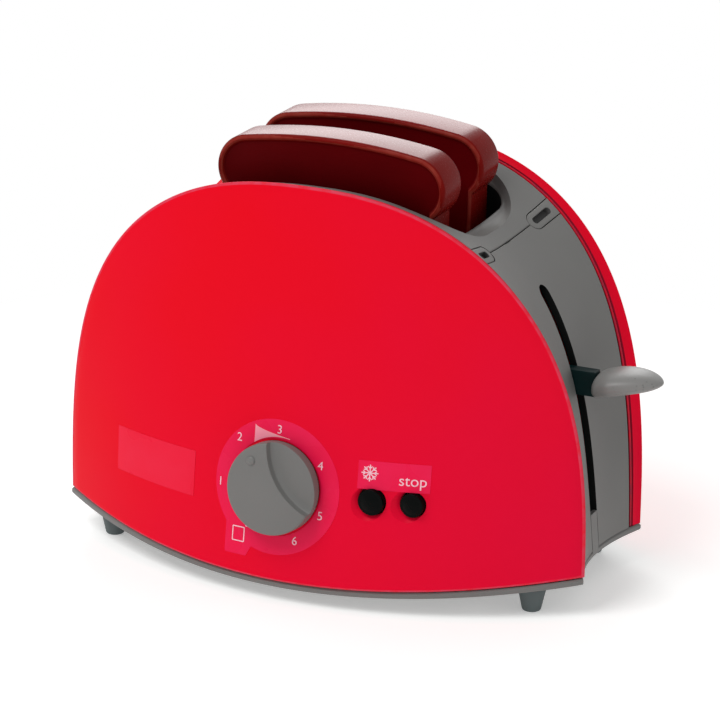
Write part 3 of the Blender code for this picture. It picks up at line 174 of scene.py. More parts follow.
class LeverSizes(bpy.types.PropertyGroup):
    rod_x: length("Rod place", 46, "Guide rods, from the middle")
    rod_radius: length("Rod radius", 2, "Guide rods")
    spring_radius: length("Spring radius", 3.4, "Lift springs, to the middle of the wire")
    spring_wire: length("Spring wire", 0.45, "Half the wire's thickness")
    spring_seat: length("Spring seat", 2, "Height of the lift springs' seats on the base")
    lever_drop: length("Lever's way down", 34, "How far the rack goes down from rest")
    rack_floor: length("Rack floor", 2.2, "Thickness of the rack under a slice")
    rack_wall: length("Rack wall", 1.4, "Thickness of the rack's side walls")
    rack_rise: length("Rack wall height", 4.4, "How far those walls stand over its floor")
    rack_edge: length("Rack edge", 0.3, "Rounding of the rack's edges")
    beam_height: length("Beam height", 4.6, "The rack's cross beams at its ends")
    sleeve_radius: length("Sleeve radius", 4, "The carriage's sleeves on the rods")
    sleeve_play: length("Sleeve play", 0.4, "Between a sleeve and its rod")
    sleeve_rise: length("Sleeve top", 9, "How far the sleeves stand over a slice's foot")
    catch_width: length("Catch leg width", 5, "The leg behind the stop button")
    catch_depth: length("Catch leg depth", 3, "From the rack to the leg's front")
    catch_drop: length("Catch leg drop", 5.2, "How far it hangs under the rack")
    tooth_reach: length("Catch reach", 2.2, "How far its tooth stands out")
    tooth_height: length("Catch height", 1.5, "Thickness of that tooth")
    arm_sink: length("Arm sink", 1.1, "From a slice's foot down to the arm's lower face")
    arm_start: length("Arm start", 0.8, "From the guide rod to the arm")
    arm_height: length("Arm height", 8.3, "The lever's arm")
    arm_thickness: length("Arm thickness", 4.4, "The lever's arm")
    arm_from_end: length("Arm short of the end", 7.5, "From the arm's shoulder to the panels' corner")
    tenon: length("Tenon", 7, "What the knob is pushed on to")
    tenon_step: length("Tenon step", 0.65, "How far the tenon lies inside the arm's sides")
    knob_length: length("Knob length", 21.8, "Along the arm")
    knob_width: length("Knob width", 19.6, "Across")
    knob_thickness: length("Knob thickness", 8.3, "Up and down")
    knob_rise: length("Knob rise", 3.2, "How far its tip lies above its start")


class ControlSizes(bpy.types.PropertyGroup):
    dial_x: length("Dial from the stop button", 44.3, "Sideways")
    dial_z: length("Dial height", 25, "Middle of the dial")
    dial_radius: length("Dial radius", 15, "The timer knob")
    dial_height: length("Dial thickness", 6.4, "How far it stands out")
    # Painted shadow: this lowest band of the dial's side takes the shade finish, for the gap's shadow at the
    # panel.
    dial_foot: length("Dial foot", 1.0, "Dark lowest part of its side")
    dial_edge: length("Dial edge", 0.8, "Rounding of its face")
    dial_chamfer: length("Dial chamfer", 0.5, "At its foot, next to the panel")
    scoop_rim: length("Scoop rim", 0.22, "Rounding of the sharp edges round the scooped part")
    scoop_radius: length("Scoop radius", 23, "Curve of the scooped part's edge")
    scoop_x: length("Scoop middle, sideways", 21.3, "From the dial's middle")
    scoop_z: length("Scoop middle, up", 15.2, "From the dial's middle")
    scoop_depth: length("Scoop depth", 2.6, "At its edge")
    dial_rest: angle("Mark's place", -40, "Where the raised mark points at rest, from straight up")
    dot_reach: length("Mark from the middle", 10.9, "Raised round mark")
    dot_radius: length("Mark radius", 1.5, "Raised round mark")
    dot_rise: length("Mark height", 0.62, "Raised round mark")
    dot_root: length("Mark root", 0.6, "How far the mark reaches into the dial")
    stop_from_end: length("Stop button from the end", 50.2, "From the panels' right corner")
    spacing: length("Button spacing", 12.8, "Between the two buttons")
    button_z: length("Button height", 24, "Middle of the buttons")
    stop_radius: length("Stop button radius", 3.9, "The right-hand button")
    defrost_radius: length("Defrost button radius", 4.3, "The left-hand button")
    proud: length("Button stands out", 1.8, "In front of the panel")
    button_edge: length("Button edge", 0.9, "Rounding of its face")
    button_crown: length("Button crown", 0.7, "How far its face is crowned")
    flange_width: length("Flange width", 0.9, "Flange that holds a button behind the panel")
    flange_wall: length("Flange wall", 1.2, "Thickness of that flange")
    flange_place: length("Flange place", 41.5, "From the middle plane to that flange")
    stem: length("Stem radius", 1.5, "The button's stem")
    run: length("Running play", 0.4, "Round the buttons")
    hole_slope: length("Hole slope", 0.7, "Sloping edge of the holes round the buttons")


class PrintSizes(bpy.types.PropertyGroup):
    film: length("Film thickness", 0.12, "The printed stickers")
    ring_outer: length("Scale ring radius", 21.9, "Outer edge of the sticker round the dial")
    ring_inner: length("Scale ring opening", 15.7, "Inner edge of that sticker")
    ring_left: length("Scale ring to the left", 0.8, "From the dial's middle")
    ring_down: length("Scale ring down", 0.5, "From the dial's middle")
    tab_left: length("Tab's left edge", 17, "Squared tab of that sticker, from its middle")
    tab_down: length("Tab's lower edge", 24.1, "Squared tab of that sticker, from its middle")
    patch_left: length("Patch's left end", 9.3, "Pale patch over the dial, from the dial's middle")
    patch_width: length("Patch width", 12.5, "Pale patch over the dial")
    patch_inner: length("Patch's inner edge", 15.8, "Radius of its lower edge round the dial")
    patch_top: length("Patch top", 18.7, "From the dial's middle to its upper left corner")
    patch_fall: length("Patch fall", 3, "How far its upper edge falls to the right")
    keys_left: length("Button sticker's left edge", 17.6, "From the stop button's middle")
    keys_right: length("Button sticker's right edge", 5.2, "From the stop button's middle")
    keys_low: length("Button sticker's lower edge", 28, "Above the panel's corners")
    keys_high: length("Button sticker's upper edge", 37.2, "Above the panel's corners")
    name_left: length("Name sticker's left edge", 67.3, "Left of the middle")
    name_right: length("Name sticker's right edge", 33.4, "Left of the middle")
    name_low: length("Name sticker's lower edge", 15.4, "Above the panel's corners")
    name_high: length("Name sticker's upper edge", 30.3, "Above the panel's corners")
    figure_reach: length("Figures from the middle", 18.8, "Middle of each figure")
    figure_height: length("Figure height", 2.9, "Printed figures")
    figures_left: length("Figures to the left", 2.2, "Their circle, from the dial's middle")
    figures_down: length("Figures down", 0.6, "Their circle, from the dial's middle")
    word_height: length("Word height", 3.7, "The word over the right-hand button")
    word_z: length("Word place", 31.6, "Middle of that word")
    word_left: length("Word to the left", 0.2, "From the stop button's middle")
    snow_radius: length("Snowflake radius", 2.7, "Mark over the left-hand button")
    snow_z: length("Snowflake place", 33.3, "Middle of that mark")
    snow_left: length("Snowflake to the left", 1, "From the left-hand button's middle")
    square: length("Square mark", 2.1, "Half the width of the mark at the lower left of the dial")
    square_left: length("Square mark, left", 13, "From the dial's middle")
    square_down: length("Square mark, down", 17.9, "From the dial's middle")
    line: length("Print line", 0.36, "Width of the printed lines")


class Colours(bpy.types.PropertyGroup):
    red: colour("Panels", 0.76, 0.0030, 0.012, "Glossy red plastic")
    # Painted shade: this deeper red is laid on towards the panels' lower right, as well as in random mottle.
    red_mottle_and_shade: colour("Panels, deeper", 0.74, 0.0030, 0.036, "Where the red plastic is a shade deeper")
    groove: colour("Rim groove", 0.26, 0.0060, 0.0220, "Shadow in the groove along the rim")
    # Painted highlight: light caught by the panels' rounded outer edge.
    edge: colour("Panel's outer edge", 0.66, 0.055, 0.105, "Rounded edge of the panels, where light catches")
    # Painted highlight: the thin line on the crust's inner edge stands for light caught by that edge.
    crust_highlight: colour("Crust's inner edge", 0.24, 0.030, 0.020, "Thin rubbed line between crust and face")
    name_film: colour("Name sticker", 0.79, 0.007, 0.036, "The bare sticker at the left")
    # Painted glare: the pale patch over the top figure stands for light reflected off the film.
    patch: colour("Pale patch", 0.88, 0.27, 0.36, "Peeled corner over the top figure")
    # Painted shade: the dark band on the rim's inner edge, where the rim meets the covers.
    rim_shade: colour("Panel's inner edge", 0.30, 0.022, 0.050, "Thin line where the rim meets the covers")
    film: colour("Stickers", 0.80, 0.008, 0.062, "Clear film over the red")
    print_ink: colour("Print", 0.90, 0.52, 0.60, "Figures and marks")
    grey: colour("Covers", 0.158, 0.157, 0.151, "Satin grey plastic")
    grey_deep: colour("Covers, deeper", 0.138, 0.137, 0.132, "Where the grey is a shade deeper")
    knob: colour("Lever knob", 0.205, 0.203, 0.196, "Pale grey plastic")
    knob_deep: colour("Lever knob, rubbed", 0.13, 0.13, 0.125, "Speckles on the pale grey plastic")
    slot_floor: colour("Thumb slot floor", 0.055, 0.055, 0.055, "Shaded floor of the clips' slots")
    shade: colour("Inside of the covers", 0.006, 0.007, 0.007, "The covers' unlit inner walls")
    # Painted shade: the arm and rack are drawn almost black green-grey, for grey plastic in shadow.
    arm: colour("Carriage and lever arm", 0.0025, 0.0165, 0.0170, "Dark green-grey plastic")
    toast: colour("Toast face", 0.112, 0.0010, 0.0025, "Brown-red plastic")
    crust: colour("Toast crust", 0.190, 0.0060, 0.0045, "Brown-red plastic of the crust")
    button: colour("Buttons", 0.0012, 0.0020, 0.0018, "Glossy black plastic")
    foot: colour("Feet", 0.105, 0.128, 0.130, "Dull grey plastic")
    works: colour("Clockwork and rockers", 0.50, 0.47, 0.40, "Unpainted plastic inside")
    steel: colour("Steel", 0.58, 0.58, 0.59, "Rods, springs and screws")


class ToasterSettings(bpy.types.PropertyGroup):
    body: PointerProperty(type=BodySizes)
    roof: PointerProperty(type=RoofSizes)
    toast: PointerProperty(type=ToastSizes)
    lever: PointerProperty(type=LeverSizes)
    controls: PointerProperty(type=ControlSizes)
    prints: PointerProperty(type=PrintSizes)
    colours: PointerProperty(type=Colours)


# Body surfaces

class Body:
    """The toaster's surfaces, worked out from its sizes."""

    def __init__(self, settings):
        self.b, self.r, self.t = settings.body, settings.roof, settings.toast
        self.half = self.b.body_length / 2
        tray_low, tray_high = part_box("base_tray")
        panel_low, panel_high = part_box("front_panel")
        self.place = Vector((panel_low.x + self.half, (tray_low.y + tray_high.y) / 2,
                             panel_high.z - self.b.body_height))

    def half_depth(self, x, z):
        u = x / self.half
        fall = 1 - (1 - self.b.top_bulge) * z / self.b.body_height
        return self.b.end_depth / 2 + self.b.bulge * (1 - u * u) * fall

    def foot_line(self, x):
        u = x / self.half
        return -self.b.belly * (1 - u * u)

    def base_top(self, x):
        return self.foot_line(x) - PLAY

    def floor(self):
        return -(self.b.belly + PLAY + self.b.base_rim + self.b.floor_gap)

    def arch_point(self, turn):
        c, s = cos(pi * turn), max(sin(pi * turn), 0)
        x = self.half * copysign(abs(c) ** (2 / self.b.arch_x_power), c)
        return x, self.b.body_height * s ** (2 / self.b.arch_z_power)

    def arch_normal(self, turn):
        step = 1e-4
        x0, z0 = self.arch_point(max(turn - step, 0))
        x1, z1 = self.arch_point(min(turn + step, 1))
        size = hypot(x1 - x0, z1 - z0)
        return (z1 - z0) / size, -(x1 - x0) / size

    def arch_turn(self, x):
        part = x / self.half
        return acos(copysign(abs(part) ** (self.b.arch_x_power / 2), part)) / pi

    def arch_speed(self, turn):
        step = 1e-3
        x0, z0 = self.arch_point(turn - step)
        x1, z1 = self.arch_point(turn + step)
        return hypot(x1 - x0, z1 - z0) / (2 * step)

    def hollow_at(self, z):
        up = 2 * z / self.b.body_height - 1
        return self.b.hollow + self.b.waist_hollow * max(1 - up * up, 0)

    def grey_point(self, turn, y, depth=0):
        x, z = self.arch_point(turn)
        nx, nz = self.arch_normal(turn)
        across = y / self.half_depth(x, z)
        sink = self.hollow_at(z) * (1 - across * across) + depth
        return Vector((x - nx * sink, y, z - nz * sink))

    def cover_edge(self, turn):
        return self.half_depth(*self.arch_point(turn)) - self.b.panel_rim - PLAY

    def front_point(self, x, z, proud=0):
        """A point of the front panel's face, or proud of it."""
        return Vector((x, -self.half_depth(x, z) - proud, z))

    def seam_turn(self, along=0):
        """The arch's turn at the seam, or some way from it towards the end."""
        seam = self.arch_turn(self.r.seam_x)
        return seam - along / self.arch_speed(seam)

    def seam_edge(self, along, beyond=0):
        return self.cover_edge(self.seam_turn(along)) + beyond

    def seam_place(self, side_x, along, y, depth):
        point = self.grey_point(self.seam_turn(along), y, depth)
        return Vector((side_x * point.x, point.y, point.z))

    def stop_x(self, controls):
        return self.half - controls.stop_from_end

    def arm_end(self, lever):
        return self.half - lever.arm_from_end

    def arm_heights(self, lever):
        """The lower and upper face of the lever's arm."""
        return self.t.bottom - lever.arm_sink, self.t.bottom - lever.arm_sink + lever.arm_height

    def dial_frame(self, controls):
        """Dial space to body space: local Z points out of the panel, local Y up its face."""
        x, z, step = self.stop_x(controls) - controls.dial_x, controls.dial_z, 0.001
        tilt = atan2(self.half_depth(x, z - step) - self.half_depth(x, z + step), 2 * step)
        return Matrix.Translation(self.front_point(x, z)) @ Matrix.Rotation(pi / 2 - tilt, 4, "X")


# Mesh making

def quarter(steps, first=0):
    """The (sine, cosine) of evenly spaced turns, from none to a quarter."""
    return [(sin(pi / 2 * i / steps), cos(pi / 2 * i / steps)) for i in range(first, steps + 1)]


def circle(steps, radius=1):
    return [(radius * cos(2 * pi * i / steps), radius * sin(2 * pi * i / steps)) for i in range(steps)]


def loft(loops, start=None, end=None, ring=False):
    """Skin closed loops of equally many points. A centre point closes an end, or else a flat face."""
    bm = bmesh.new()
    rows = [[bm.verts.new(point) for point in loop] for loop in loops]
    count = len(rows[0])
    pairs = list(zip(rows, rows[1:]))
    if ring:
        pairs.append((rows[-1], rows[0]))
    for a, b in pairs:
        for i in range(count):
            j = (i + 1) % count
            bm.faces.new((a[i], a[j], b[j], b[i]))
    if not ring:
        for row, centre in ((rows[0], start), (rows[-1], end)):
            if centre is None:
                bm.faces.new(row)
                continue
            hub = bm.verts.new(centre)
            for i in range(count):
                bm.faces.new((row[i], row[(i + 1) % count], hub))
    return bm


def turned(profile, segments=64, matrix=None, ring=False):
    """A solid of revolution about Z from (radius, height) points."""
    loops = [[Vector((x, y, height)) for x, y in circle(segments, radius)] for radius, height in profile]
    bm = loft(loops, ring=ring)
    if matrix:
        bmesh.ops.transform(bm, matrix=matrix, verts=bm.verts)
    return bm


def round_edge(radius, height, edge, steps=5):
    """Profile points of a rounded outer edge, from the side up to the face."""
    return [(radius - edge * (1 - c), height - edge * (1 - s)) for s, c in quarter(steps)]


def bevelled_block(low, high, edge):
    """A box whose edges are rounded."""
    bm = bmesh.new()
    bmesh.ops.create_cube(bm, size=1)
    matrix = Matrix.Translation([(a + b) / 2 for a, b in zip(low, high)]) @ Matrix.Diagonal(
        (*[b - a for a, b in zip(low, high)], 1))
    bmesh.ops.transform(bm, matrix=matrix, verts=bm.verts)
    if edge:
        bmesh.ops.bevel(bm, geom=bm.edges[:], offset=edge, segments=2, profile=0.5, affect="EDGES")
    return bm


def add_to(target, bm):
    """Pour one bmesh into another."""
    mesh = bpy.data.meshes.new("pour")
    bm.to_mesh(mesh)
    bm.free()
    target.from_mesh(mesh)
    bpy.data.meshes.remove(mesh)
    return target


def mesh_object(name, bm, sharp=32):
    bmesh.ops.recalc_face_normals(bm, faces=bm.faces)
    mesh = bpy.data.meshes.new(name)
    bm.to_mesh(mesh)
    bm.free()
    obj = bpy.data.objects.new(name, mesh)
    bpy.context.scene.collection.objects.link(obj)
    mesh.shade_smooth()
    if sharp:
        mesh.set_sharp_from_angle(angle=radians(sharp))
    return obj


def evaluated_mesh(obj):
    graph = bpy.context.evaluated_depsgraph_get()
    return bpy.data.meshes.new_from_object(obj.evaluated_get(graph))


def cut(obj, *cutters):
    """Cut several solids from a piece."""
    for bm in cutters:
        tool = mesh_object("cutter", bm, None)
        modifier = obj.modifiers.new("cut", "BOOLEAN")
        modifier.operation, modifier.object = "DIFFERENCE", tool
        result = evaluated_mesh(obj)
        obj.modifiers.clear()
        obj.data = result
        bpy.data.objects.remove(tool)


def soften(obj, width, limit):
    """Round a piece's sharp edges for good."""
    modifier = obj.modifiers.new("soften", "BEVEL")
    modifier.width, modifier.segments, modifier.limit_method = width, 2, "ANGLE"
    modifier.angle_limit = radians(limit)
    modifier.use_clamp_overlap = True
    result = evaluated_mesh(obj)
    obj.modifiers.clear()
    obj.data = result


def carry_normals(obj, source, near=3e-5, alike=0.96):
    """Give a cut piece the shading of its uncut mesh, except on the walls of its cuts.

    A face counts as uncut when it lies near the source and faces alike.
    """
    tree = BVHTree.FromPolygons([v.co for v in source.vertices], [p.vertices for p in source.polygons])
    corner_normals = [c.vector.copy() for c in source.corner_normals]
    mesh = obj.data
    normals = [None] * len(mesh.loops)
    for polygon in mesh.polygons:
        for index in polygon.loop_indices:
            point = mesh.vertices[mesh.loops[index].vertex_index].co
            _, _, found, distance = tree.find_nearest(point.lerp(polygon.center, 0.02))
            match = source.polygons[found]
            if distance is None or distance > near or match.normal.dot(polygon.normal) < alike:
                normals[index] = polygon.normal.copy()
                continue
            weights = poly_3d_calc([source.vertices[i].co for i in match.vertices], point)
            normal = sum((corner_normals[i] * w for i, w in zip(match.loop_indices, weights)), Vector())
            normals[index] = normal.normalized() if normal.length > 1e-6 else polygon.normal.copy()
    mesh.shade_smooth()
    mesh.normals_split_custom_set(normals)


def fit(obj, body, rides, material, replaces=()):
    """Stand a piece in its place, give it its finish and tie it to the moving body."""
    obj.location = body.place
    if obj.data.materials:
        obj.data.materials[0] = material
    else:
        obj.data.materials.append(material)
    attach(obj, rides)
    if replaces:
        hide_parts(*replaces)
    return obj


def ring_finishes(obj, per_ring, finishes):
    """Give whole rings of a loft's faces finishes of their own, before anything is cut from it."""
    for first, last, material in finishes:
        obj.data.materials.append(material)
        for polygon in obj.data.polygons[first * per_ring:(last + 1) * per_ring]:
            polygon.material_index = len(obj.data.materials) - 1


def part_finish(obj, material, chosen):
    """Give the faces that a test picks a finish of their own."""
    obj.data.materials.append(material)
    index = len(obj.data.materials) - 1
    for polygon in obj.data.polygons:
        if chosen(polygon.center, polygon.normal):
            polygon.material_index = index


# Finishes

class Value:
    """A shader socket that takes part in plain arithmetic."""

    def __init__(self, look, socket):
        self.look, self.socket = look, socket

    def worked(self, operation, *values):
        return self.look.node("ShaderNodeMath", {"operation": operation}, dict(enumerate(values)))

    def __add__(self, other):
        return self.worked("ADD", self, other)

    def __sub__(self, other):
        return self.worked("SUBTRACT", self, other)

    def __rsub__(self, other):
        return self.worked("SUBTRACT", other, self)

    def __mul__(self, other):
        return self.worked("MULTIPLY", self, other)

    __radd__ = __add__
    __rmul__ = __mul__

    def over(self, low, high):
        """0 below low, 1 above high, evenly between them."""
        inputs = {0: self, 1: low, 2: high, 3: 0.0, 4: 1.0}
        return self.look.node("ShaderNodeMapRange", {"clamp": True}, inputs)


class Nodes:
    """Makes nodes in one tree and wires them."""

    def __init__(self, tree):
        self.tree = tree

    def put(self, socket, value):
        if isinstance(value, Value):
            self.tree.links.new(value.socket, socket)
        elif hasattr(socket.default_value, "__len__") and not hasattr(value, "__len__"):
            socket.default_value = [value] * len(socket.default_value)
        elif hasattr(value, "__len__") and len(value) == 3 and len(socket.default_value) == 4:
            socket.default_value = (*value, 1)
        else:
            socket.default_value = value

    def node(self, kind, settings=None, inputs=None, output=0):
        made = self.tree.nodes.new(kind)
        for key, value in (settings or {}).items():
            setattr(made, key, value)
        for key, value in (inputs or {}).items():
            self.put(made.inputs[key], value)
        return Value(self, made.outputs[output])

    def seen(self):
        """1 for rays that show the backdrop, straight, mirrored or through a pane, and 0 for its light."""
        value = self.node("ShaderNodeLightPath", output="Is Camera Ray")
        for kind in ("Is Glossy Ray", "Is Transmission Ray"):
            value = value.worked("MAXIMUM", value, self.node("ShaderNodeLightPath", output=kind))
        return value


class Look(Nodes):
    """One material and the nodes that make it."""

    def __init__(self, name, **constants):
        self.material = bpy.data.materials.new(name)
        self.material.use_nodes = True
        super().__init__(self.material.node_tree)
        self.shader = self.tree.nodes["Principled BSDF"]
        self.set(**constants)

    def set(self, **inputs):
        for socket, value in inputs.items():
            self.put(self.shader.inputs[socket.replace("_", " ")], value)
        return self.material

    def place(self):
        return self.node("ShaderNodeTexCoord", output="Object")

    def noise(self, scale, detail=2.0, roughness=0.5):
        return self.node("ShaderNodeTexNoise", {}, {"Vector": self.place(), "Scale": scale, "Detail": detail,
                                                   "Roughness": roughness})

    def mix(self, factor, a, b):
        return self.node("ShaderNodeMix", {"data_type": "RGBA"}, {0: factor, 6: a, 7: b}, 2)

    def bump(self, height, strength, distance):
        return self.node("ShaderNodeBump", {}, {"Height": height, "Strength": strength, "Distance": distance})


def deeper(tint, part):
    return tuple(part * value for value in tint)


def known(name, make):
    return bpy.data.materials.get(name) or make(name)


def red_plastic(c):
    def make(name):
        look = Look(name, Specular_IOR_Level=0.03)
        # Painted shade: seven tenths of the mix deepens the red towards the part's lower right; the rest is
        # random mottle.
        lower_right_painted_shade = look.node("ShaderNodeVectorMath", {"operation": "DOT_PRODUCT"},
                              {0: look.place(), 1: (1, 0, -1)}, "Value")
        cloud = look.noise(14, 2).over(0.35, 0.65) * 0.3 + lower_right_painted_shade.over(-0.15, 0.10) * 0.7
        grain = look.noise(900, 3, 0.6)
        ripple = look.noise(60, 1)
        return look.set(Base_Color=look.mix(cloud, c.red, c.red_mottle_and_shade),
                        Roughness=0.26 + grain * 0.10,
                        Normal=look.bump(ripple + grain * 0.15, 0.12, 0.0002))
    return known("glossy_red_plastic", make)


# Paints highlight and shade marks: the given colour, in random patches over the plain colour.
def painted_light_plastic(title, tint, base_tint):
    def make(name):
        look = Look(name, Specular_IOR_Level=0.06)
        wear_and_painted_shading = look.noise(300, 2).over(0.3, 0.9)
        return look.set(Base_Color=look.mix(wear_and_painted_shading, tint, base_tint), Roughness=0.35 + wear_and_painted_shading * 0.1)
    return known(title, make)


def grey_plastic(c):
    def make(name):
        look = Look(name, Specular_IOR_Level=0.4)
        cloud = look.noise(22, 3).over(0.3, 0.7)
        grain = look.noise(2600, 2, 0.6)
        return look.set(Base_Color=look.mix(cloud, c.grey, c.grey_deep),
                        Roughness=0.42 + grain * 0.16, Normal=look.bump(grain, 0.16, 0.00006))
    return known("satin_grey_plastic", make)


def knob_plastic(c):
    def make(name):
        look = Look(name, Specular_IOR_Level=0.45)
        spots = look.node("ShaderNodeTexVoronoi", {"feature": "F1"}, {"Vector": look.place(), "Scale": 700})
        mask = (1 - spots.over(0.10, 0.28)) * look.noise(160, 2).over(0.5, 0.62)
        grain = look.noise(1800, 2)
        return look.set(Base_Color=look.mix(mask, c.knob, c.knob_deep),
                        Roughness=0.34 + grain * 0.14, Normal=look.bump(grain - mask, 0.18, 0.00008))
    return known("pale_knob_plastic", make)


def toast_plastic(c, crust):
    def make(name):
        look = Look(name, Specular_IOR_Level=0.03, Coat_Roughness=0.3)
        cloud = look.noise(45, 3).over(0.3, 0.7)
        grain = look.noise(1500, 2)
        base = c.crust if crust else c.toast
        # Painted shade: where ambient occlusion finds a slice closed in, its colour falls nearly to black.
        open_air = look.node("ShaderNodeAmbientOcclusion", {"samples": 6}, {"Distance": 0.020}, 1)
        facing = look.node("ShaderNodeTexCoord", output="Normal")
        up = look.node("ShaderNodeSeparateXYZ", {}, {0: facing}, 2).over(0.8, 1.0)
        lit = look.mix(cloud, base, deeper(base, 0.8))
        return look.set(Base_Color=look.mix(open_air.over(0.12, 0.62), deeper(base, 0.06), lit),
                        Coat_Weight=up * 0.42, Roughness=(0.20 if crust else 0.30) + grain * 0.12,
                        Normal=look.bump(cloud * 0.3 + grain * 0.25, 0.12, 0.00015))
    return known("toast_crust_plastic" if crust else "toast_face_plastic", make)


def plain_plastic(name, tint, roughness, specular=0.4, grain_scale=1600):
    def make(title):
        look = Look(title, Specular_IOR_Level=specular)
        cloud = look.noise(60, 2).over(0.3, 0.7)
        grain = look.noise(grain_scale, 2)
        return look.set(Base_Color=look.mix(cloud, tint, deeper(tint, 0.84)),
                        Roughness=roughness + grain * 0.12, Normal=look.bump(grain, 0.15, 0.00008))
    return known(name, make)


def film_plastic(title, tint):
    def make(name):
        look = Look(name, Specular_IOR_Level=0.08)
        cloud = look.noise(70, 2).over(0.4, 0.7)
        return look.set(Base_Color=look.mix(cloud, tint, (tint[0], tint[1] * 1.7, tint[2] * 1.25)),
                        Roughness=0.24 + cloud * 0.12, Normal=look.bump(cloud, 0.10, 0.0001))
    return known(title, make)


def ink(c):
    def make(name):
        look = Look(name, Specular_IOR_Level=0.25)
        wear_and_painted_shading = look.noise(1200, 2).over(0.45, 0.75)
        return look.set(Base_Color=look.mix(wear_and_painted_shading, c.print_ink, deeper(c.print_ink, 0.82)),
                        Roughness=0.35 + wear_and_painted_shading * 0.1)
    return known("sticker_print", make)


def steel(c):
    def make(name):
        look = Look(name, Metallic=1.0)
        streak = look.noise(500, 3)
        return look.set(Base_Color=look.mix(streak, c.steel, deeper(c.steel, 0.8)),
                        Roughness=0.22 + streak * 0.2, Normal=look.bump(streak, 0.1, 0.00005))
    return known("drawn_steel", make)


# Panels

def panel_outline(body, arch_steps=168, foot_steps=72):
    points = []
    for i in range(arch_steps + 1):
        x, z = body.arch_point(i / arch_steps)
        nx, nz = body.arch_normal(i / arch_steps)
        points.append((x, z, nx, nz, 1 if i in (0, arch_steps) else 0))
    for i in range(1, foot_steps):
        x = 2 * body.half * (i / foot_steps - 1 / 2)
        points.append((x, body.foot_line(x), 0, 0, 1))
    return points


def panel_shell(title, body, side, finishes):
    """A bowed shell with a rim turned in all round. side is -1 in front and 1 behind.

    The finishes are for its face, its rounded edge, the groove along its rim and the band beside that.
    """
    b = body.b
    outline = panel_outline(body)

    def ring(arch_inset, foot_inset, shrink, depth_of):
        loop = []
        for x, z, nx, nz, foot in outline:
            inset = arch_inset(x, z)
            px = (x - nx * inset) * shrink
            pz = b.dome_centre + (z - nz * inset + foot_inset * foot - b.dome_centre) * shrink
            loop.append(Vector((px, side * depth_of(x, z, px, pz), pz)))
        return loop

    def even(value):
        return lambda x, z: value

    def sink(depth):
        """How far the covers are hollowed at a depth behind the panel's face."""
        return lambda x, z: body.hollow_at(z) * (1 - (1 - depth / body.half_depth(x, z)) ** 2)

    face = lambda x, z, px, pz: body.half_depth(px, pz)
    inside = lambda x, z, px, pz: body.half_depth(px, pz) - b.panel_wall
    loops = [ring(even(0), 0, part / 14, face) for part in range(1, 14)]
    loops += [ring(even(0), 0, part, face) for part in (0.955, 0.978)]
    for s, c in quarter(5):
        back, down = b.panel_edge * (1 - s), b.panel_edge * (1 - c)
        loops.append(ring(even(back), back, 1, lambda x, z, px, pz, down=down: body.half_depth(x, z) - down))
    outer, inner = b.panel_rim - b.rim_band - b.groove_width, b.panel_rim - b.rim_band
    plain = [(b.panel_edge + (outer - b.panel_edge) * i / 3, 0) for i in (1, 2, 3)]
    groove = [(outer + 1.5 * HAIR, b.rim_groove), (inner - HAIR / 2, b.rim_groove)]
    band = [(inner, HAIR), (inner + 2 * HAIR, 0), (b.panel_rim - 2 * HAIR, 0), (b.panel_rim, HAIR)]
    rounded, grooved = len(loops) - 6, len(loops) + len(plain) - 1
    for depth, lower in plain + groove + band:
        loops.append(ring(lambda x, z, depth=depth, lower=lower: sink(depth)(x, z) + lower, 0, 1,
                          lambda x, z, px, pz, depth=depth: body.half_depth(x, z) - depth))
    under = lambda x, z: sink(b.panel_rim)(x, z) + b.panel_wall
    loops.append(ring(under, b.panel_wall, 1, lambda x, z, px, pz: body.half_depth(px, pz) - b.panel_rim))
    loops.append(ring(even(b.panel_wall), b.panel_wall, 1, inside))
    loops += [ring(even(b.panel_wall), b.panel_wall, part, inside) for part in (0.9, 0.75, 0.5, 0.25)]
    centre = Vector((0, side * body.half_depth(0, b.dome_centre), b.dome_centre))
    behind = Vector((0, side * (body.half_depth(0, b.dome_centre) - b.panel_wall), b.dome_centre))
    obj = mesh_object(title, loft(loops, centre, behind))
    obj.data.materials.append(finishes[0])
    ring_finishes(obj, len(outline), [(rounded, rounded + 3, finishes[1]),
                                      (grooved, grooved + 2, finishes[2]),
                                      (grooved + 3, grooved + 5, finishes[3])])
    return obj


def along_y(profile, x, z, segments=64):
    """A solid of revolution along Y from (radius, y) points."""
    matrix = Matrix.Translation((x, 0, z)) @ Matrix.Rotation(-pi / 2, 4, "X")
    return turned(profile, segments, matrix)


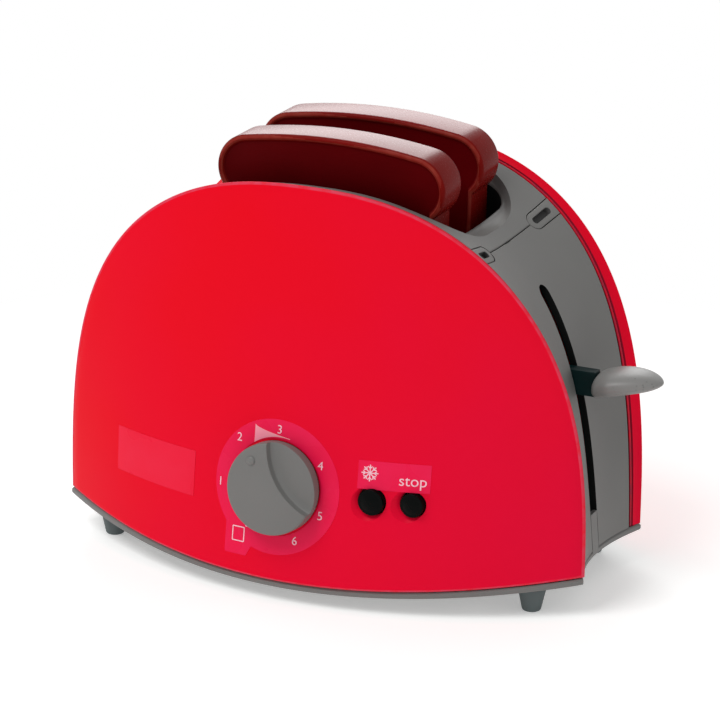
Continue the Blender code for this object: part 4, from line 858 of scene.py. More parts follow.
def make_panels(settings):
    body, controls = Body(settings), settings.controls
    c = settings.colours
    # Painted shade on the rim's inner band, on both panels.
    red, wear_and_painted_shading = red_plastic(c), painted_light_plastic("worn_rim_plastic", c.rim_shade, c.red)
    # Painted highlight on the front panel's rounded edge.
    bright = painted_light_plastic("panel_edge_plastic", c.edge, c.red)
    # Painted shadow in the rim groove.
    painted_shade_finish = painted_light_plastic("groove_plastic", c.groove, c.groove)

    # Painted shade: the rear panel's rounded edge takes the groove's shadow colour too.
    rear = panel_shell("rear_shell", body, 1, (red, painted_shade_finish, painted_shade_finish, wear_and_painted_shading))
    fit(rear, body, "casing", red, ["rear_panel"])
    front = panel_shell("front_shell", body, -1, (red, bright, painted_shade_finish, wear_and_painted_shading))
    uncut = front.data.copy()
    cutters = []
    stop_x, slope, out = body.stop_x(controls), controls.hole_slope, 2 * PASS
    for x, radius in ((stop_x, controls.stop_radius), (stop_x - controls.spacing, controls.defrost_radius)):
        face_y = -body.half_depth(x, controls.button_z)
        hole = radius + controls.run
        profile = [(hole + slope + out, face_y - out), (hole + slope * 0.15, face_y + slope * 0.85),
                   (hole, face_y + slope * 1.6), (hole, face_y + 10 * PASS)]
        cutters.append(along_y(profile, x, controls.button_z))
    cut(front, *cutters)
    carry_normals(front, uncut)
    fit(front, body, "casing", red, ["front_panel"])


# Covers

def tab_outline(body, clearance, steps=18):
    r = body.r
    half = r.clip_width / 2 + clearance
    return [(half * cos(pi * i / steps), r.clip_inner + r.clip_width / 2 - half * sin(pi * i / steps))
            for i in range(steps + 1)]


def tab_loops(body, side_x, side_y, layers):
    """The clip's outline at each (clearance, beyond, depth)."""
    loops, rows = [], 5
    for clearance, beyond, depth in layers:
        half = body.r.clip_width / 2 + clearance
        points = tab_outline(body, clearance)

        def side(along, start):
            """Points from the tab's rounded end out to the seam's edge."""
            reach = body.seam_edge(along, beyond) - start
            return [(along, start + reach * i / rows) for i in range(1, rows + 1)]

        points += side(-half, points[-1][1]) + side(half, points[0][1])[::-1]
        loops.append([body.seam_place(side_x, a, side_y * y, depth) for a, y in points])
    return loops


def clip_cutter(body, side_x, side_y):
    return loft(tab_loops(body, side_x, side_y, [(PLAY, PASS, -PASS), (PLAY, PASS, body.r.wall + PASS)]))


def end_cover(body, side_x, across_steps=30, up_steps=64):
    """An end wall: hollow across, following the arch from the base up to the seam."""
    r = body.r
    seam = body.seam_turn(PLAY / 2)
    step_back = r.edge / body.arch_speed(seam)
    rows = [((seam - step_back) * i / up_steps, 0) for i in range(up_steps + 1)] + [(seam, r.edge)]
    loops = []
    for turn, lowered in rows:
        edge = body.cover_edge(turn)
        flat = edge - r.edge
        outside = [(flat * (2 * j / across_steps - 1), lowered) for j in range(across_steps + 1)]
        outside = [(-edge, max(r.edge, lowered))] + outside + [(edge, max(r.edge, lowered))]
        inner = [(edge * (2 * j / 10 - 1), r.wall) for j in range(11)][::-1]
        loop = []
        for y, depth in outside + inner:
            point = body.grey_point(turn, y, depth)
            if turn == 0:
                point.z = body.foot_line(point.x)
            loop.append(Vector((side_x * point.x, point.y, point.z)))
        loops.append(loop)
    return loft(loops)


def lever_slot_cutter(body, width, top):
    half = width / 2
    points = [(-half, -10 * PASS), (half, -10 * PASS)]
    points += [(half * cos(pi * i / 16), top - half + half * sin(pi * i / 16)) for i in range(17)]
    inner = body.grey_point(body.seam_turn(), 0, body.r.wall).x
    return loft([[Vector((x, y, z)) for y, z in points] for x in (inner, body.half + PASS)])


def rounded_loop(half_x, half_y, corner, corner_steps=16, long_steps=30, short_steps=18):
    """A rounded rectangle, evenly matched point for point whatever its size."""
    points = []
    corners = ((1, 1, 0), (-1, 1, pi / 2), (-1, -1, pi), (1, -1, 3 * pi / 2))
    for index, (sx, sy, start) in enumerate(corners):
        cx, cy = sx * (half_x - corner), sy * (half_y - corner)
        for i in range(corner_steps + 1):
            turn = start + pi / 2 * i / corner_steps
            points.append((cx + corner * cos(turn), cy + corner * sin(turn)))
        steps = long_steps if index % 2 == 0 else short_steps
        nx, ny, turn = corners[(index + 1) % 4]
        ex, ey = nx * (half_x - corner) + corner * cos(turn), ny * (half_y - corner) + corner * sin(turn)
        x0, y0 = points[-1]
        points += [(x0 + (ex - x0) * i / steps, y0 + (ey - y0) * i / steps) for i in range(1, steps)]
    return points


def roof_shell(body, grey, shade):
    """The roof: a dished surround that falls to the toast opening, and the lip inside it, which is shaded."""
    r = body.r
    seam = body.seam_turn(-PLAY / 2)
    seam_x = body.arch_point(seam)[0]
    outline = rounded_loop(r.dish_length / 2, r.dish_depth / 2, r.dish_corner)

    def at(points, depth):
        return [body.grey_point(body.arch_turn(x), y, depth) for x, y in points]

    def outer(inset):
        return [((seam_x - inset) * x, y * (body.cover_edge(body.arch_turn((seam_x - inset) * x)) - inset))
                for x, y in rounded_loop(1, 1, 1e-3)]

    def between(a, b, part):
        return [(ax + (bx - ax) * part, ay + (by - ay) * part) for (ax, ay), (bx, by) in zip(a, b)]

    edge, shoulder = outer(0), outer(r.edge)
    opening = rounded_loop(r.opening_length / 2, r.opening_depth / 2, r.opening_corner)
    lip = rounded_loop(r.opening_length / 2 + r.wall, r.opening_depth / 2 + r.wall, r.opening_corner + r.wall)
    lip_bottom = body.grey_point(body.arch_turn(r.opening_length / 2), 0, r.dish_drop).z - r.lip_depth

    def lowered(points, depth, z):
        return [Vector((p.x, p.y, z)) for p in at(points, depth)]

    loops = [at(edge, r.edge), at(shoulder, 0)]
    loops += [at(between(shoulder, outline, i / 7), 0) for i in range(1, 8)]
    reach = (r.dish_depth - r.opening_depth) / 2
    last = 1 - r.lip_round / (reach + r.lip_round)
    for i in range(1, 13):
        part = last * i / 12
        loops.append(at(between(outline, opening, part), r.dish_drop * (1 - (1 - part) ** r.dish_power)))
    start = r.dish_drop * (1 - (1 - last) ** r.dish_power)
    first_shaded = len(loops) + 4
    for s, c in quarter(5, 1):
        loops.append(at(between(outline, opening, last + (1 - last) * s), start + r.lip_round * (1 - c)))
    loops += [lowered(opening, start + r.lip_round, lip_bottom), lowered(lip, r.dish_drop, lip_bottom)]
    loops += [at(lip, r.dish_drop + r.wall), at(between(lip, outline, 0.6), r.dish_drop * 0.6 + r.wall),
              at(outline, r.wall), at(between(edge, outline, 0.5), r.wall), at(edge, r.wall)]
    obj = mesh_object("roof_shell", loft(loops, ring=True))
    obj.data.materials.append(grey)
    ring_finishes(obj, len(outline), [(first_shaded, len(loops) - 2, shade)])
    return obj


def clip_piece(name, body, side_x, side_y):
    """A tab set into the seam, with a thumb slot, and a test for the faces deep in that slot."""
    r = body.r
    part = r.edge * 0.3
    layers = [(-r.edge, -r.edge, 0), (-part, -part, part), (0, 0, r.edge), (0, 0, r.wall)]
    obj = mesh_object(name, loft(tab_loops(body, side_x, side_y, layers)))
    half = r.clip_slot / 2
    inner = r.clip_inner + r.clip_margin + half
    outer = body.seam_edge(0) - r.clip_margin - half

    def slot_loop(grow, depth):
        points = []
        for end, start in ((inner, pi), (outer, 0)):
            for i in range(13):
                turn = start + pi * i / 12
                points.append(((half + grow) * cos(turn), end + (half + grow) * sin(turn)))
        return [body.seam_place(side_x, a, side_y * y, depth) for a, y in points]

    flare, taper = PASS / 2, 2 * HAIR
    cut(obj, loft([slot_loop(flare, -flare), slot_loop(0, taper), slot_loop(-taper, r.clip_sink)]))
    obj.data.shade_smooth()
    obj.data.set_sharp_from_angle(angle=radians(30))
    nx, nz = body.arch_normal(body.seam_turn())

    def in_slot(centre, normal):
        """Whether a face lies deep in the thumb slot."""
        skin = body.seam_place(side_x, 0, centre.y, 0)
        depth = -(centre.x - skin.x) * side_x * nx - (centre.z - skin.z) * nz
        along = hypot(centre.x - skin.x, centre.z - skin.z) ** 2 - depth ** 2
        wide = half * 1.1
        return (r.clip_sink * 0.35 < depth < r.clip_sink * 1.2 and along < wide ** 2
                and inner - wide < abs(centre.y) < outer + wide)

    return obj, in_slot


def make_covers(settings):
    body, r = Body(settings), settings.roof
    grey = grey_plastic(settings.colours)
    shade = plain_plastic("shaded_inner_plastic", settings.colours.shade, 0.7, 0.1)

    def in_slot(centre, normal):
        """Whether a face is on the lever slot's walls or on the covers' inside."""
        on_wall = abs(centre.y) < r.lever_slot / 2 + HAIR and abs(normal.x) < 0.5 and centre.x > 0
        return on_wall or normal.x * copysign(1, centre.x) < -0.3

    roof = roof_shell(body, grey, shade)
    pieces = [(roof, "top_cover", (-1, 1)),
              (mesh_object("right_end_shell", end_cover(body, 1)), "end_cover_right", (1,)),
              (mesh_object("left_end_shell", end_cover(body, -1)), "end_cover_left", (-1,))]
    for obj, node, sides in pieces:
        uncut = obj.data.copy()
        cut(obj, *[clip_cutter(body, side_x, side_y) for side_x in sides for side_y in (-1, 1)])
        if node == "end_cover_right":
            cut(obj, lever_slot_cutter(body, r.lever_slot, r.lever_slot_top))
        carry_normals(obj, uncut)
        fit(obj, body, "casing", grey, [node])
        if obj is not roof:
            part_finish(obj, shade, in_slot)


def make_clips(settings):
    body = Body(settings)
    grey = grey_plastic(settings.colours)
    deep = plain_plastic("slot_floor_plastic", settings.colours.slot_floor, 0.6, 0.2)
    for side_x, hand in ((-1, "left"), (1, "right")):
        for side_y, face in ((-1, "front"), (1, "rear")):
            obj, in_slot = clip_piece(f"clip_{face}_{hand}", body, side_x, side_y)
            fit(obj, body, "casing", grey, [f"cover_clip_{face}_{hand}"])
            # Painted shade on the faces deep in each thumb slot.
            part_finish(obj, deep, in_slot)


# Base and feet

def plan_outline(body, inset, end_inset, foot_steps=72, end_steps=24):
    b = body.b
    half = body.half - end_inset
    depth = b.end_depth / 2 - inset
    points = []
    for side in (-1, 1):
        for i in range(foot_steps):
            x = side * half * (1 - 2 * i / foot_steps)
            points.append((x, side * (body.half_depth(x, 0) - inset)))
        for i in range(end_steps):
            y = side * depth * (1 - 2 * i / end_steps)
            points.append((-side * (half - b.hollow * (1 - (y / depth) ** 2)), y))
    return points


def make_base(settings):
    body, b = Body(settings), settings.body
    edge = b.base_edge

    def sheet(outline, part, drop):
        return [Vector((x * part, y * part, body.base_top(x * part) - drop)) for x, y in outline]

    rim, inside = plan_outline(body, 0, 0), plan_outline(body, edge, edge)
    parts = (0.2, 0.4, 0.6, 0.8, 0.93)
    loops = [sheet(rim, part, 0) for part in parts]
    loops += [sheet(inside, 1, 0), sheet(rim, 1, edge)]
    loops += [sheet(plan_outline(body, edge * (1 - c), edge * (1 - c)), 1, b.base_rim - edge * (1 - s))
              for s, c in quarter(4)]
    loops += [sheet(rim, part, b.base_rim) for part in parts[::-1]]
    bm = loft(loops, Vector((0, 0, body.base_top(0))), Vector((0, 0, body.base_top(0) - b.base_rim)))
    sunk = -b.base_rim / 2
    lip = [sheet(plan_outline(body, b.lip_from_side + wall, b.lip_from_end + wall), 1, -height)
           for wall, height in ((0, sunk), (0, b.lip_height), (b.lip_wall, b.lip_height), (b.lip_wall, sunk))]
    add_to(bm, loft(lip, ring=True))
    half = body.r.lever_slot / 2 - PLAY
    inner = body.half - b.hollow - body.r.wall
    loops = []
    bends = 0, 0.004, 0.008       # heights where the tongue's front follows the cover's curve
    for z in (body.base_top(inner) + sunk, *bends, b.tongue_top):
        skin = body.half - body.hollow_at(max(z, 0)) * (1 - (2 * half / b.end_depth) ** 2)
        corners = (inner, -half), (skin, -half), (skin, half), (inner, half)
        loops.append([Vector((x, y, z)) for x, y in corners])
    add_to(bm, loft(loops))
    obj = mesh_object("base_shell", bm)
    fit(obj, body, "casing", grey_plastic(settings.colours), ["base_tray"])


def make_feet(settings):
    body, b = Body(settings), settings.body
    dull = plain_plastic("dull_foot_plastic", settings.colours.foot, 0.55, 0.3)
    for side_x, hand in ((-1, "left"), (1, "right")):
        for side_y, face in ((-1, "front"), (1, "rear")):
            x, y = side_x * (body.half - b.foot_from_end), side_y * (b.end_depth / 2 + b.foot_spread)
            under = b.belly * 2 * b.foot_top * abs(x) / body.half ** 2
            top = body.base_top(x) - b.base_rim - under - PLAY
            profile = [(b.foot_toe - b.foot_round * (1 - s), body.floor() + b.foot_round * (1 - c))
                       for s, c in quarter(5)]
            profile += round_edge(b.foot_top, top, b.foot_round / 2, 3)
            profile += [(b.foot_pin, top), (b.foot_pin, top + b.base_rim - 4 * HAIR)]
            obj = mesh_object(f"peg_{face}_{hand}", turned(profile, 40, Matrix.Translation((x, y, 0))))
            fit(obj, body, "casing", dull, [f"foot_{face}_{hand}"])


# Toast

def slice_outline(t, inset):
    """Bread outline as (x, z): straight sides, round lobes, a low crown."""
    side, bottom, top = t.half_width - inset, t.bottom + inset, t.bottom + t.height
    radius, lobe = max(t.foot_radius - inset, 2 * HAIR), t.lobe_radius - inset
    lobe_x, lobe_z = t.half_width + t.lobe_overhang - t.lobe_radius, top - t.lobe_below_top
    right = [(side * i / 8, bottom) for i in range(-7, 7)][7:]
    right = [(x, z) for x, z in right if x < side - radius]
    right += [(side - radius + radius * s, bottom + radius - radius * c) for s, c in quarter(8)]
    start, end = radians(-48), radians(82)      # where a lobe leaves the side and meets the crown
    neck_x, neck_z = lobe_x + lobe * cos(start), lobe_z + lobe * sin(start)
    foot_x, foot_z = right[-1]
    for part in (i / 10 for i in range(1, 10)):
        right.append((foot_x + (neck_x - foot_x) * part, foot_z + (neck_z - foot_z) * part))
    for turn in (start + (end - start) * i / 36 for i in range(37)):
        right.append((lobe_x + lobe * cos(turn), lobe_z + lobe * sin(turn)))
    x0, z0 = right[-1]
    for i in range(1, 14):
        part = 1 - i / 14
        right.append((x0 * part, top - inset - (top - inset - z0) * part * part))
    left = [(-x, z) for x, z in right[::-1] if x > 1e-9]
    return right + [(0, top - inset)] + left


def make_toast(settings):
    body, t, c = Body(settings), settings.toast, settings.colours
    half = t.thickness / 2
    rounding = [(t.crust_round * (1 - s), half - t.crust_round * (1 - c)) for s, c in quarter(7)]
    fillet = t.crust_fillet
    step_foot = t.crust + t.crust_step * 0.6
    profile = [(step_foot + t.face_rim, half - t.crust_step), (step_foot + fillet, half - t.crust_step),
               (t.crust + t.crust_step * 0.5, half - t.crust_step + fillet * 0.4),
               (t.crust + fillet * 0.3, half - fillet), (t.crust - fillet, half)] + rounding

    def on_face(centre, normal):
        return abs(normal.y) > 0.9 and half - abs(centre.y - y) > t.crust_step * 0.75

    def on_line(centre, normal):
        """Whether a face lies on the crust's inner edge, just below its flat top."""
        within = t.crust - fillet
        return (HAIR / 10 < half - abs(centre.y - y) < fillet
                and t.bottom + t.crust < centre.z < t.bottom + t.height - within
                and abs(centre.x) < t.half_width + t.lobe_overhang - within)

    outlines = [(inset, -offset) for inset, offset in profile] + profile[::-1]
    for y, face in ((-t.pitch / 2, "front"), (t.pitch / 2, "rear")):
        loops = [[Vector((x, y + offset, z)) for x, z in slice_outline(t, inset)]
                 for inset, offset in outlines]
        obj = mesh_object(f"toast_{face}", loft(loops), 40)
        fit(obj, body, f"slice_{face}", toast_plastic(c, True), [f"toast_slice_{face}"])
        part_finish(obj, toast_plastic(c, False), on_face)
        # Painted highlight on the crust's inner edge.
        part_finish(obj, painted_light_plastic("rubbed_crust_plastic", c.crust_highlight, c.crust), on_line)


# Carriage and lever

def make_rack(settings):
    """The rack under the slices with its sleeves, the lever's arm and the catch behind the stop button."""
    body, t, lever = Body(settings), settings.toast, settings.lever
    floor = t.bottom - PLAY
    under = floor - lever.rack_floor
    trough, wall = t.thickness / 2 + PLAY, lever.rack_wall
    beam_x = t.half_width + PLAY
    outer_y = t.pitch / 2 + trough + wall
    rack = bmesh.new()

    def block(low, high, edge=lever.rack_edge):
        add_to(rack, bevelled_block(low, high, edge))

    for side in (-1, 1):
        ends = sorted((side * beam_x, side * (lever.rod_x - lever.rod_radius)))
        block((ends[0], -outer_y, under), (ends[1], outer_y, under + lever.beam_height))
        y = side * t.pitch / 2
        block((-beam_x - wall, y - trough - wall, under), (beam_x + wall, y + trough + wall, floor))
        for face in (-1, 1):
            a, b = sorted((y + face * trough, y + face * (trough + wall)))
            block((-beam_x - wall, a, under + PLAY), (beam_x + wall, b, floor + lever.rack_rise))
        bore, top = lever.rod_radius + lever.sleeve_play, t.bottom + lever.sleeve_rise
        tube = [(bore, under), (lever.sleeve_radius, under)]
        tube += round_edge(lever.sleeve_radius, top, lever.sleeve_play, 3) + [(bore, top)]
        add_to(rack, turned(tube, 40, Matrix.Translation((side * lever.rod_x, 0, 0)), ring=True))
    half, step = lever.arm_thickness / 2, lever.tenon_step
    arm_bottom, arm_top = body.arm_heights(lever)
    start, end = lever.rod_x + lever.rod_radius + lever.arm_start, body.arm_end(lever)
    block((start, -half, arm_bottom), (end, half, arm_top))
    block((end - PLAY, step - half, arm_bottom + 2 * step),
          (end + lever.tenon, half - step, arm_top - 2 * step), 0)
    stop, half = body.stop_x(settings.controls), lever.catch_width / 2
    front, tooth = -outer_y - lever.catch_depth, under - lever.catch_drop
    block((stop - half, front, tooth), (stop + half, -outer_y + PLAY, under + lever.beam_height))
    block((stop - half, front - lever.tooth_reach, tooth),
          (stop + half, front + PLAY, tooth + lever.tooth_height))
    obj = mesh_object("toast_rack", rack)
    # Painted shade: the dark green-grey stands for the arm's grey plastic in shadow.
    painted_shade_finish = plain_plastic("dark_green_grey_plastic", settings.colours.arm, 0.34, 0.12)
    fit(obj, body, "carriage", painted_shade_finish, ["toast_carriage"])


def make_knob(settings):
    """The pebble on the arm: sections from its blunt start to its round tip."""
    body, lever = Body(settings), settings.lever
    start = body.arm_end(lever) + PLAY
    knob_z = sum(body.arm_heights(lever)) / 2
    blunt, broad, round_from, last, tip = 0.08, 0.25, 0.9, 0.9985, 0.9995      # parts of its length
    stations = [0] + [blunt * (1 - c) for s, c in quarter(8, 1)]
    stations += [blunt + (round_from - blunt) * i / 22 for i in range(1, 23)]
    stations += [round_from + (last - round_from) * s for s, c in quarter(10, 1)]
    loops = []
    for part in stations:
        round_off = max(1 - part ** 2.6, 0) ** 0.58
        wide = lever.knob_width / 2 * (0.82 + 0.18 * min(part / broad, 1)) * round_off
        thick = lever.knob_thickness / 2 * (0.94 + 0.06 * min(part / broad, 1)) * round_off
        if part < blunt:
            shoulder = sin(acos(1 - part / blunt)) if part else 0
            wide, thick = wide * (0.80 + 0.20 * shoulder), thick * (0.74 + 0.26 * shoulder)
        middle = knob_z + lever.knob_rise * (1 - (1 - part) ** 2.2)
        loops.append([Vector((start + lever.knob_length * part, wide * copysign(abs(c) ** 0.85, c),
                              middle + thick * copysign(abs(s) ** 0.9, s))) for c, s in circle(64)])
    end = Vector((start + lever.knob_length * tip, 0, knob_z + lever.knob_rise))
    knob = mesh_object("lever_grip", loft(loops, None, end), 50)
    fit(knob, body, "carriage", knob_plastic(settings.colours), ["lever_knob"])


# Dial and buttons

def make_dial(settings):
    body, c = Body(settings), settings.controls
    top = PLAY + c.dial_height
    profile = [(c.dial_radius - c.dial_chamfer, PLAY), (c.dial_radius, PLAY + c.dial_chamfer),
               (c.dial_radius, PLAY + c.dial_foot)]
    profile += round_edge(c.dial_radius, top, c.dial_edge)
    profile += [(c.dial_radius * part, top) for part in (0.6, 0.25)]
    obj = mesh_object("timer_dial", turned(profile, 128))
    curve = ((16, 0.5), (9, 0.66), (4.2, 0.93), (2.4, 1), (1, 0.97), (0.2, 0.80), (-0.1, 0.5))
    scoop = [(c.scoop_radius - inward / 1000, top - c.scoop_depth * part) for inward, part in curve]
    scoop.append((c.scoop_radius + 5 * HAIR, top + PASS))
    cut(obj, turned(scoop, 220, Matrix.Translation((c.scoop_x, c.scoop_z, 0))))
    soften(obj, c.scoop_rim, 38)
    bm = bmesh.new()
    bm.from_mesh(obj.data)
    spot = Matrix.Translation((c.dot_reach * sin(c.dial_rest), c.dot_reach * cos(c.dial_rest), top))
    dome = [(c.dot_radius, -c.dot_root), (c.dot_radius, HAIR)]
    dome += [(c.dot_radius * cosine, HAIR + c.dot_rise * sine) for sine, cosine in quarter(7, 1)[:-1]]
    add_to(bm, turned(dome, 36, spot))
    bmesh.ops.transform(bm, matrix=body.dial_frame(c), verts=bm.verts)
    bpy.data.objects.remove(obj)
    obj = mesh_object("timer_dial", bm, 30)
    fit(obj, body, "dial", grey_plastic(settings.colours), ["dial_knob"])
    into_dial = body.dial_frame(c).inverted()
    shade = plain_plastic("shaded_inner_plastic", settings.colours.shade, 0.7, 0.1)
    # Painted shadow: the lowest band of the dial's side, next to the panel, takes the shade finish.
    part_finish(obj, shade, lambda centre, normal: (into_dial @ centre).z < PLAY + c.dial_foot)


def make_buttons(settings):
    body, c = Body(settings), settings.controls
    black = plain_plastic("glossy_black_plastic", settings.colours.button, 0.04, 0.05)
    stop, crown = body.stop_x(c), c.button_crown
    for moving, x, radius in (("stop", stop, c.stop_radius), ("defrost", stop - c.spacing, c.defrost_radius)):
        name = f"{moving}_button"
        front = -body.half_depth(x, c.button_z) - c.proud
        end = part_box(name)[1].y - body.place.y
        flange, collar = PLAY - c.flange_place, radius + c.flange_width
        dome = [((radius - c.button_edge) * part, front + crown * part * part)
                for part in (0.12, 0.35, 0.6, 0.8, 0.92)]
        edge = [(radius - c.button_edge * (1 - sine), front + crown + (c.button_edge - crown) * (1 - cosine))
                for sine, cosine in quarter(6)]
        rest = [(radius, flange), (collar, flange), (collar, flange + c.flange_wall),
                (c.stem, flange + c.flange_wall), (c.stem, end - c.stem / 2), (c.stem / 2, end)]
        obj = mesh_object(f"cap_{moving}", along_y(dome + edge + rest, x, c.button_z, 56))
        fit(obj, body, moving, black, [name])


# Stickers

def film_grid(body, columns, rows, place, proud, closed=False):
    """A thin sheet on the front panel, its rim folded down just past the panel's face.

    place gives (x, z) for u and v from 0 to 1. A closed sheet runs round on itself in u.
    """
    bm = bmesh.new()
    grid = [[bm.verts.new(body.front_point(*place(i / columns, j / rows), proud)) for j in range(rows + 1)]
            for i in range(columns if closed else columns + 1)]
    for i in range(columns):
        for j in range(rows):
            a, b = grid[i], grid[(i + 1) % len(grid)]
            bm.faces.new((a[j], b[j], b[j + 1], a[j + 1]))
    bmesh.ops.recalc_face_normals(bm, faces=bm.faces)
    rim = [edge for edge in bm.edges if len(edge.link_faces) == 1]
    below = {}
    for vertex in (vertex for edge in rim for vertex in edge.verts):
        if vertex not in below:
            below[vertex] = bm.verts.new(vertex.co + Vector((0, proud + PRINT_LIFT / 2, 0)))
    for a, b in [tuple(edge.verts) for edge in rim]:
        bm.faces.new((a, b, below[b], below[a]))
    return bm


def lettering(body, text, height, x, z, proud):
    """Printed characters laid on the front panel, centred on a place."""
    curve = bpy.data.curves.new("lettering", "FONT")
    curve.body, curve.size, curve.align_x, curve.align_y = text, height * 1.36, "CENTER", "CENTER"
    curve.resolution_u = 4
    holder = bpy.data.objects.new("lettering", curve)
    bpy.context.scene.collection.objects.link(holder)
    bm = bmesh.new()
    bm.from_mesh(evaluated_mesh(holder))
    bpy.data.objects.remove(holder)
    for vertex in bm.verts:
        vertex.co = body.front_point(x + vertex.co.x, z + vertex.co.y, proud)
    return bm


def strokes(body, lines, width, proud):
    """Printed straight lines as ((x, z), (x, z)) pairs."""
    bm = bmesh.new()
    for (x0, z0), (x1, z1) in lines:
        size = hypot(x1 - x0, z1 - z0)
        ox, oz = -(z1 - z0) / size * width / 2, (x1 - x0) / size * width / 2
        corners = [(x0 + ox, z0 + oz), (x1 + ox, z1 + oz), (x1 - ox, z1 - oz), (x0 - ox, z0 - oz)]
        bm.faces.new([bm.verts.new(body.front_point(x, z, proud)) for x, z in corners])
    return bm


def snowflake(x, z, radius):
    """Four lines through the middle, with a pair of side strokes on each of their eight halves."""
    def reached(place, reach, turn):
        return place[0] + reach * cos(turn), place[1] + reach * sin(turn)

    turns = [pi * i / 4 for i in range(8)]
    lines = [(reached((x, z), -radius, turn), reached((x, z), radius, turn)) for turn in turns[:4]]
    for turn in turns:
        root = reached((x, z), 0.55 * radius, turn)
        lines += [(root, reached(root, 0.36 * radius, turn + side * 0.8)) for side in (-1, 1)]
    return lines


def make_prints(settings):
    body, c, p = Body(settings), settings.controls, settings.prints
    colours = settings.colours
    film = film_plastic("sticker_film", colours.film)
    stop = body.stop_x(c)
    dial_x, dial_z = stop - c.dial_x, c.dial_z
    proud = p.film

    def outer(turn):
        """The scale sticker's edge from its middle: a circle with a squared tab at the lower left."""
        dx, dz = sin(turn), cos(turn)
        if dx < 0 and dz < 0 and dx / dz < 1.3 and dz / dx < 2.8:
            return max(p.ring_outer, min(-p.tab_left / dx, -p.tab_down / dz))
        return p.ring_outer

    def ring_place(u, v):
        turn = 2 * pi * u
        reach = p.ring_inner + (outer(turn) - p.ring_inner) * v
        return dial_x - p.ring_left + reach * sin(turn), dial_z - p.ring_down + reach * cos(turn)

    def patch_place(u, v):
        x = p.patch_width * u - p.patch_left
        low = (p.patch_inner ** 2 - x * x) ** 0.5
        return dial_x + x, dial_z + low + (p.patch_top - p.patch_fall * u ** 0.6 - low) * v

    def plate(x0, x1, z0, z1):
        return lambda u, v: (x0 + (x1 - x0) * u, z0 + (z1 - z0) * v)

    # Painted glare: a pale film over the top figure, for light reflected off the sticker.
    patch = film_plastic("pale_patch_film", colours.patch)
    bare = film_plastic("name_sticker_film", colours.name_film)
    sheets = (("scale_sticker", film_grid(body, 260, 6, ring_place, proud, True), film),
              ("pale_patch", film_grid(body, 24, 6, patch_place, proud * 1.5), patch),
              ("button_sticker", film_grid(body, 24, 9, plate(stop - p.keys_left, stop + p.keys_right,
                                                              p.keys_low, p.keys_high), proud), film),
              ("bare_sticker", film_grid(body, 34, 14, plate(-p.name_left, -p.name_right,
                                                             p.name_low, p.name_high), proud), bare))
    for title, grid, finish in sheets:
        fit(mesh_object(title, grid, 40), body, "casing", finish)

    lift = proud + PRINT_LIFT
    marks = bmesh.new()
    for number, degrees in ((1, -95), (2, -42), (3, 5), (4, 61), (5, 112), (6, 150)):
        turn = radians(degrees)
        x = dial_x - p.figures_left + p.figure_reach * sin(turn)
        z = dial_z - p.figures_down + p.figure_reach * cos(turn)
        add_to(marks, lettering(body, str(number), p.figure_height, x, z, lift))
    add_to(marks, lettering(body, "stop", p.word_height, stop - p.word_left, p.word_z, lift))
    x, z, size = dial_x - p.square_left, dial_z - p.square_down, p.square
    box = [(x + sx * size, z + sz * size * 1.1) for sx, sz in ((-1, -1), (1, -1), (1, 1), (-1, 1))]
    lines = [(box[i], box[(i + 1) % 4]) for i in range(4)]
    lines += snowflake(stop - c.spacing - p.snow_left, p.snow_z, p.snow_radius)
    lines += [((x + size * 1.15, z + size * 1.45), (x + size * 1.55, z + size * 1.45))]
    add_to(marks, strokes(body, lines, p.line, lift))
    fit(mesh_object("printed_marks", marks, None), body, "casing", ink(colours))


# Inner works

def coil(radius, wire, turns, low, high, around=24, sides=8):
    """A wound wire from one height to another, its axis along Z."""
    loops = []
    steps = turns * around
    for i in range(steps + 1):
        turn = 2 * pi * i / around
        z = low + wire + (high - low - 2 * wire) * i / steps
        loops.append([Vector(((radius + out) * cos(turn), (radius + out) * sin(turn), z + up))
                      for out, up in circle(sides, wire)])
    return loft(loops)


def make_springs(settings):
    """The lift springs under the rack, drawn at their rest length."""
    body, t, lever = Body(settings), settings.toast, settings.lever
    low = body.base_top(lever.rod_x) + lever.spring_seat + PLAY
    high = t.bottom - lever.rack_floor - 2 * PLAY
    for side, hand in ((-1, "left"), (1, "right")):
        bm = coil(lever.spring_radius, lever.spring_wire, 8, low, high)
        bmesh.ops.translate(bm, verts=bm.verts, vec=(side * lever.rod_x, 0, 0))
        obj = mesh_object(f"wound_spring_{hand}", bm, None)
        fit(obj, body, "casing", steel(settings.colours), [f"lift_spring_{hand}"])
        body.place + Vector((side * lever.rod_x, 0, low))
        (high - low - lever.lever_drop) / (high - low)
        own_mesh(obj)


def make_works(settings):
    make_springs(settings)
    c = settings.colours
    bright = steel(c)
    ivory = plain_plastic("unpainted_works_plastic", c.works, 0.45, 0.4)
    for name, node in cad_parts.items():
        if name.startswith(("guide_rod", "base_screw", "timer_screw", "rocker_pin", "defrost_spring",
                            "latch_spring", "dial_shaft")):
            finish = bright
        elif name in ("timer_case", "latch", "defrost_rocker"):
            finish = ivory
        else:
            continue
        node.data.materials.clear()
        node.data.materials.append(finish)


# Studio

CAMERA_TARGET = (0.00153, 0, 0.05121)
CAMERA_TURN, CAMERA_RISE, CAMERA_ROLL = radians(23.83), radians(18.71), radians(0.94)
CAMERA_DISTANCE, CAMERA_LENS = 1.1284, 170.7
WORLD_LIGHT = 0.50            # the white background's light on the part
FLOOR_LIGHT = 0.32            # the floor's own light
FLOOR_FADE = 0.12, 0.30       # where the floor turns to pure white, from the middle


def away(turn, rise):
    """The direction from the part to a light or the camera, turned from straight in front."""
    return Vector((sin(turn) * cos(rise), -cos(turn) * cos(rise), sin(rise)))


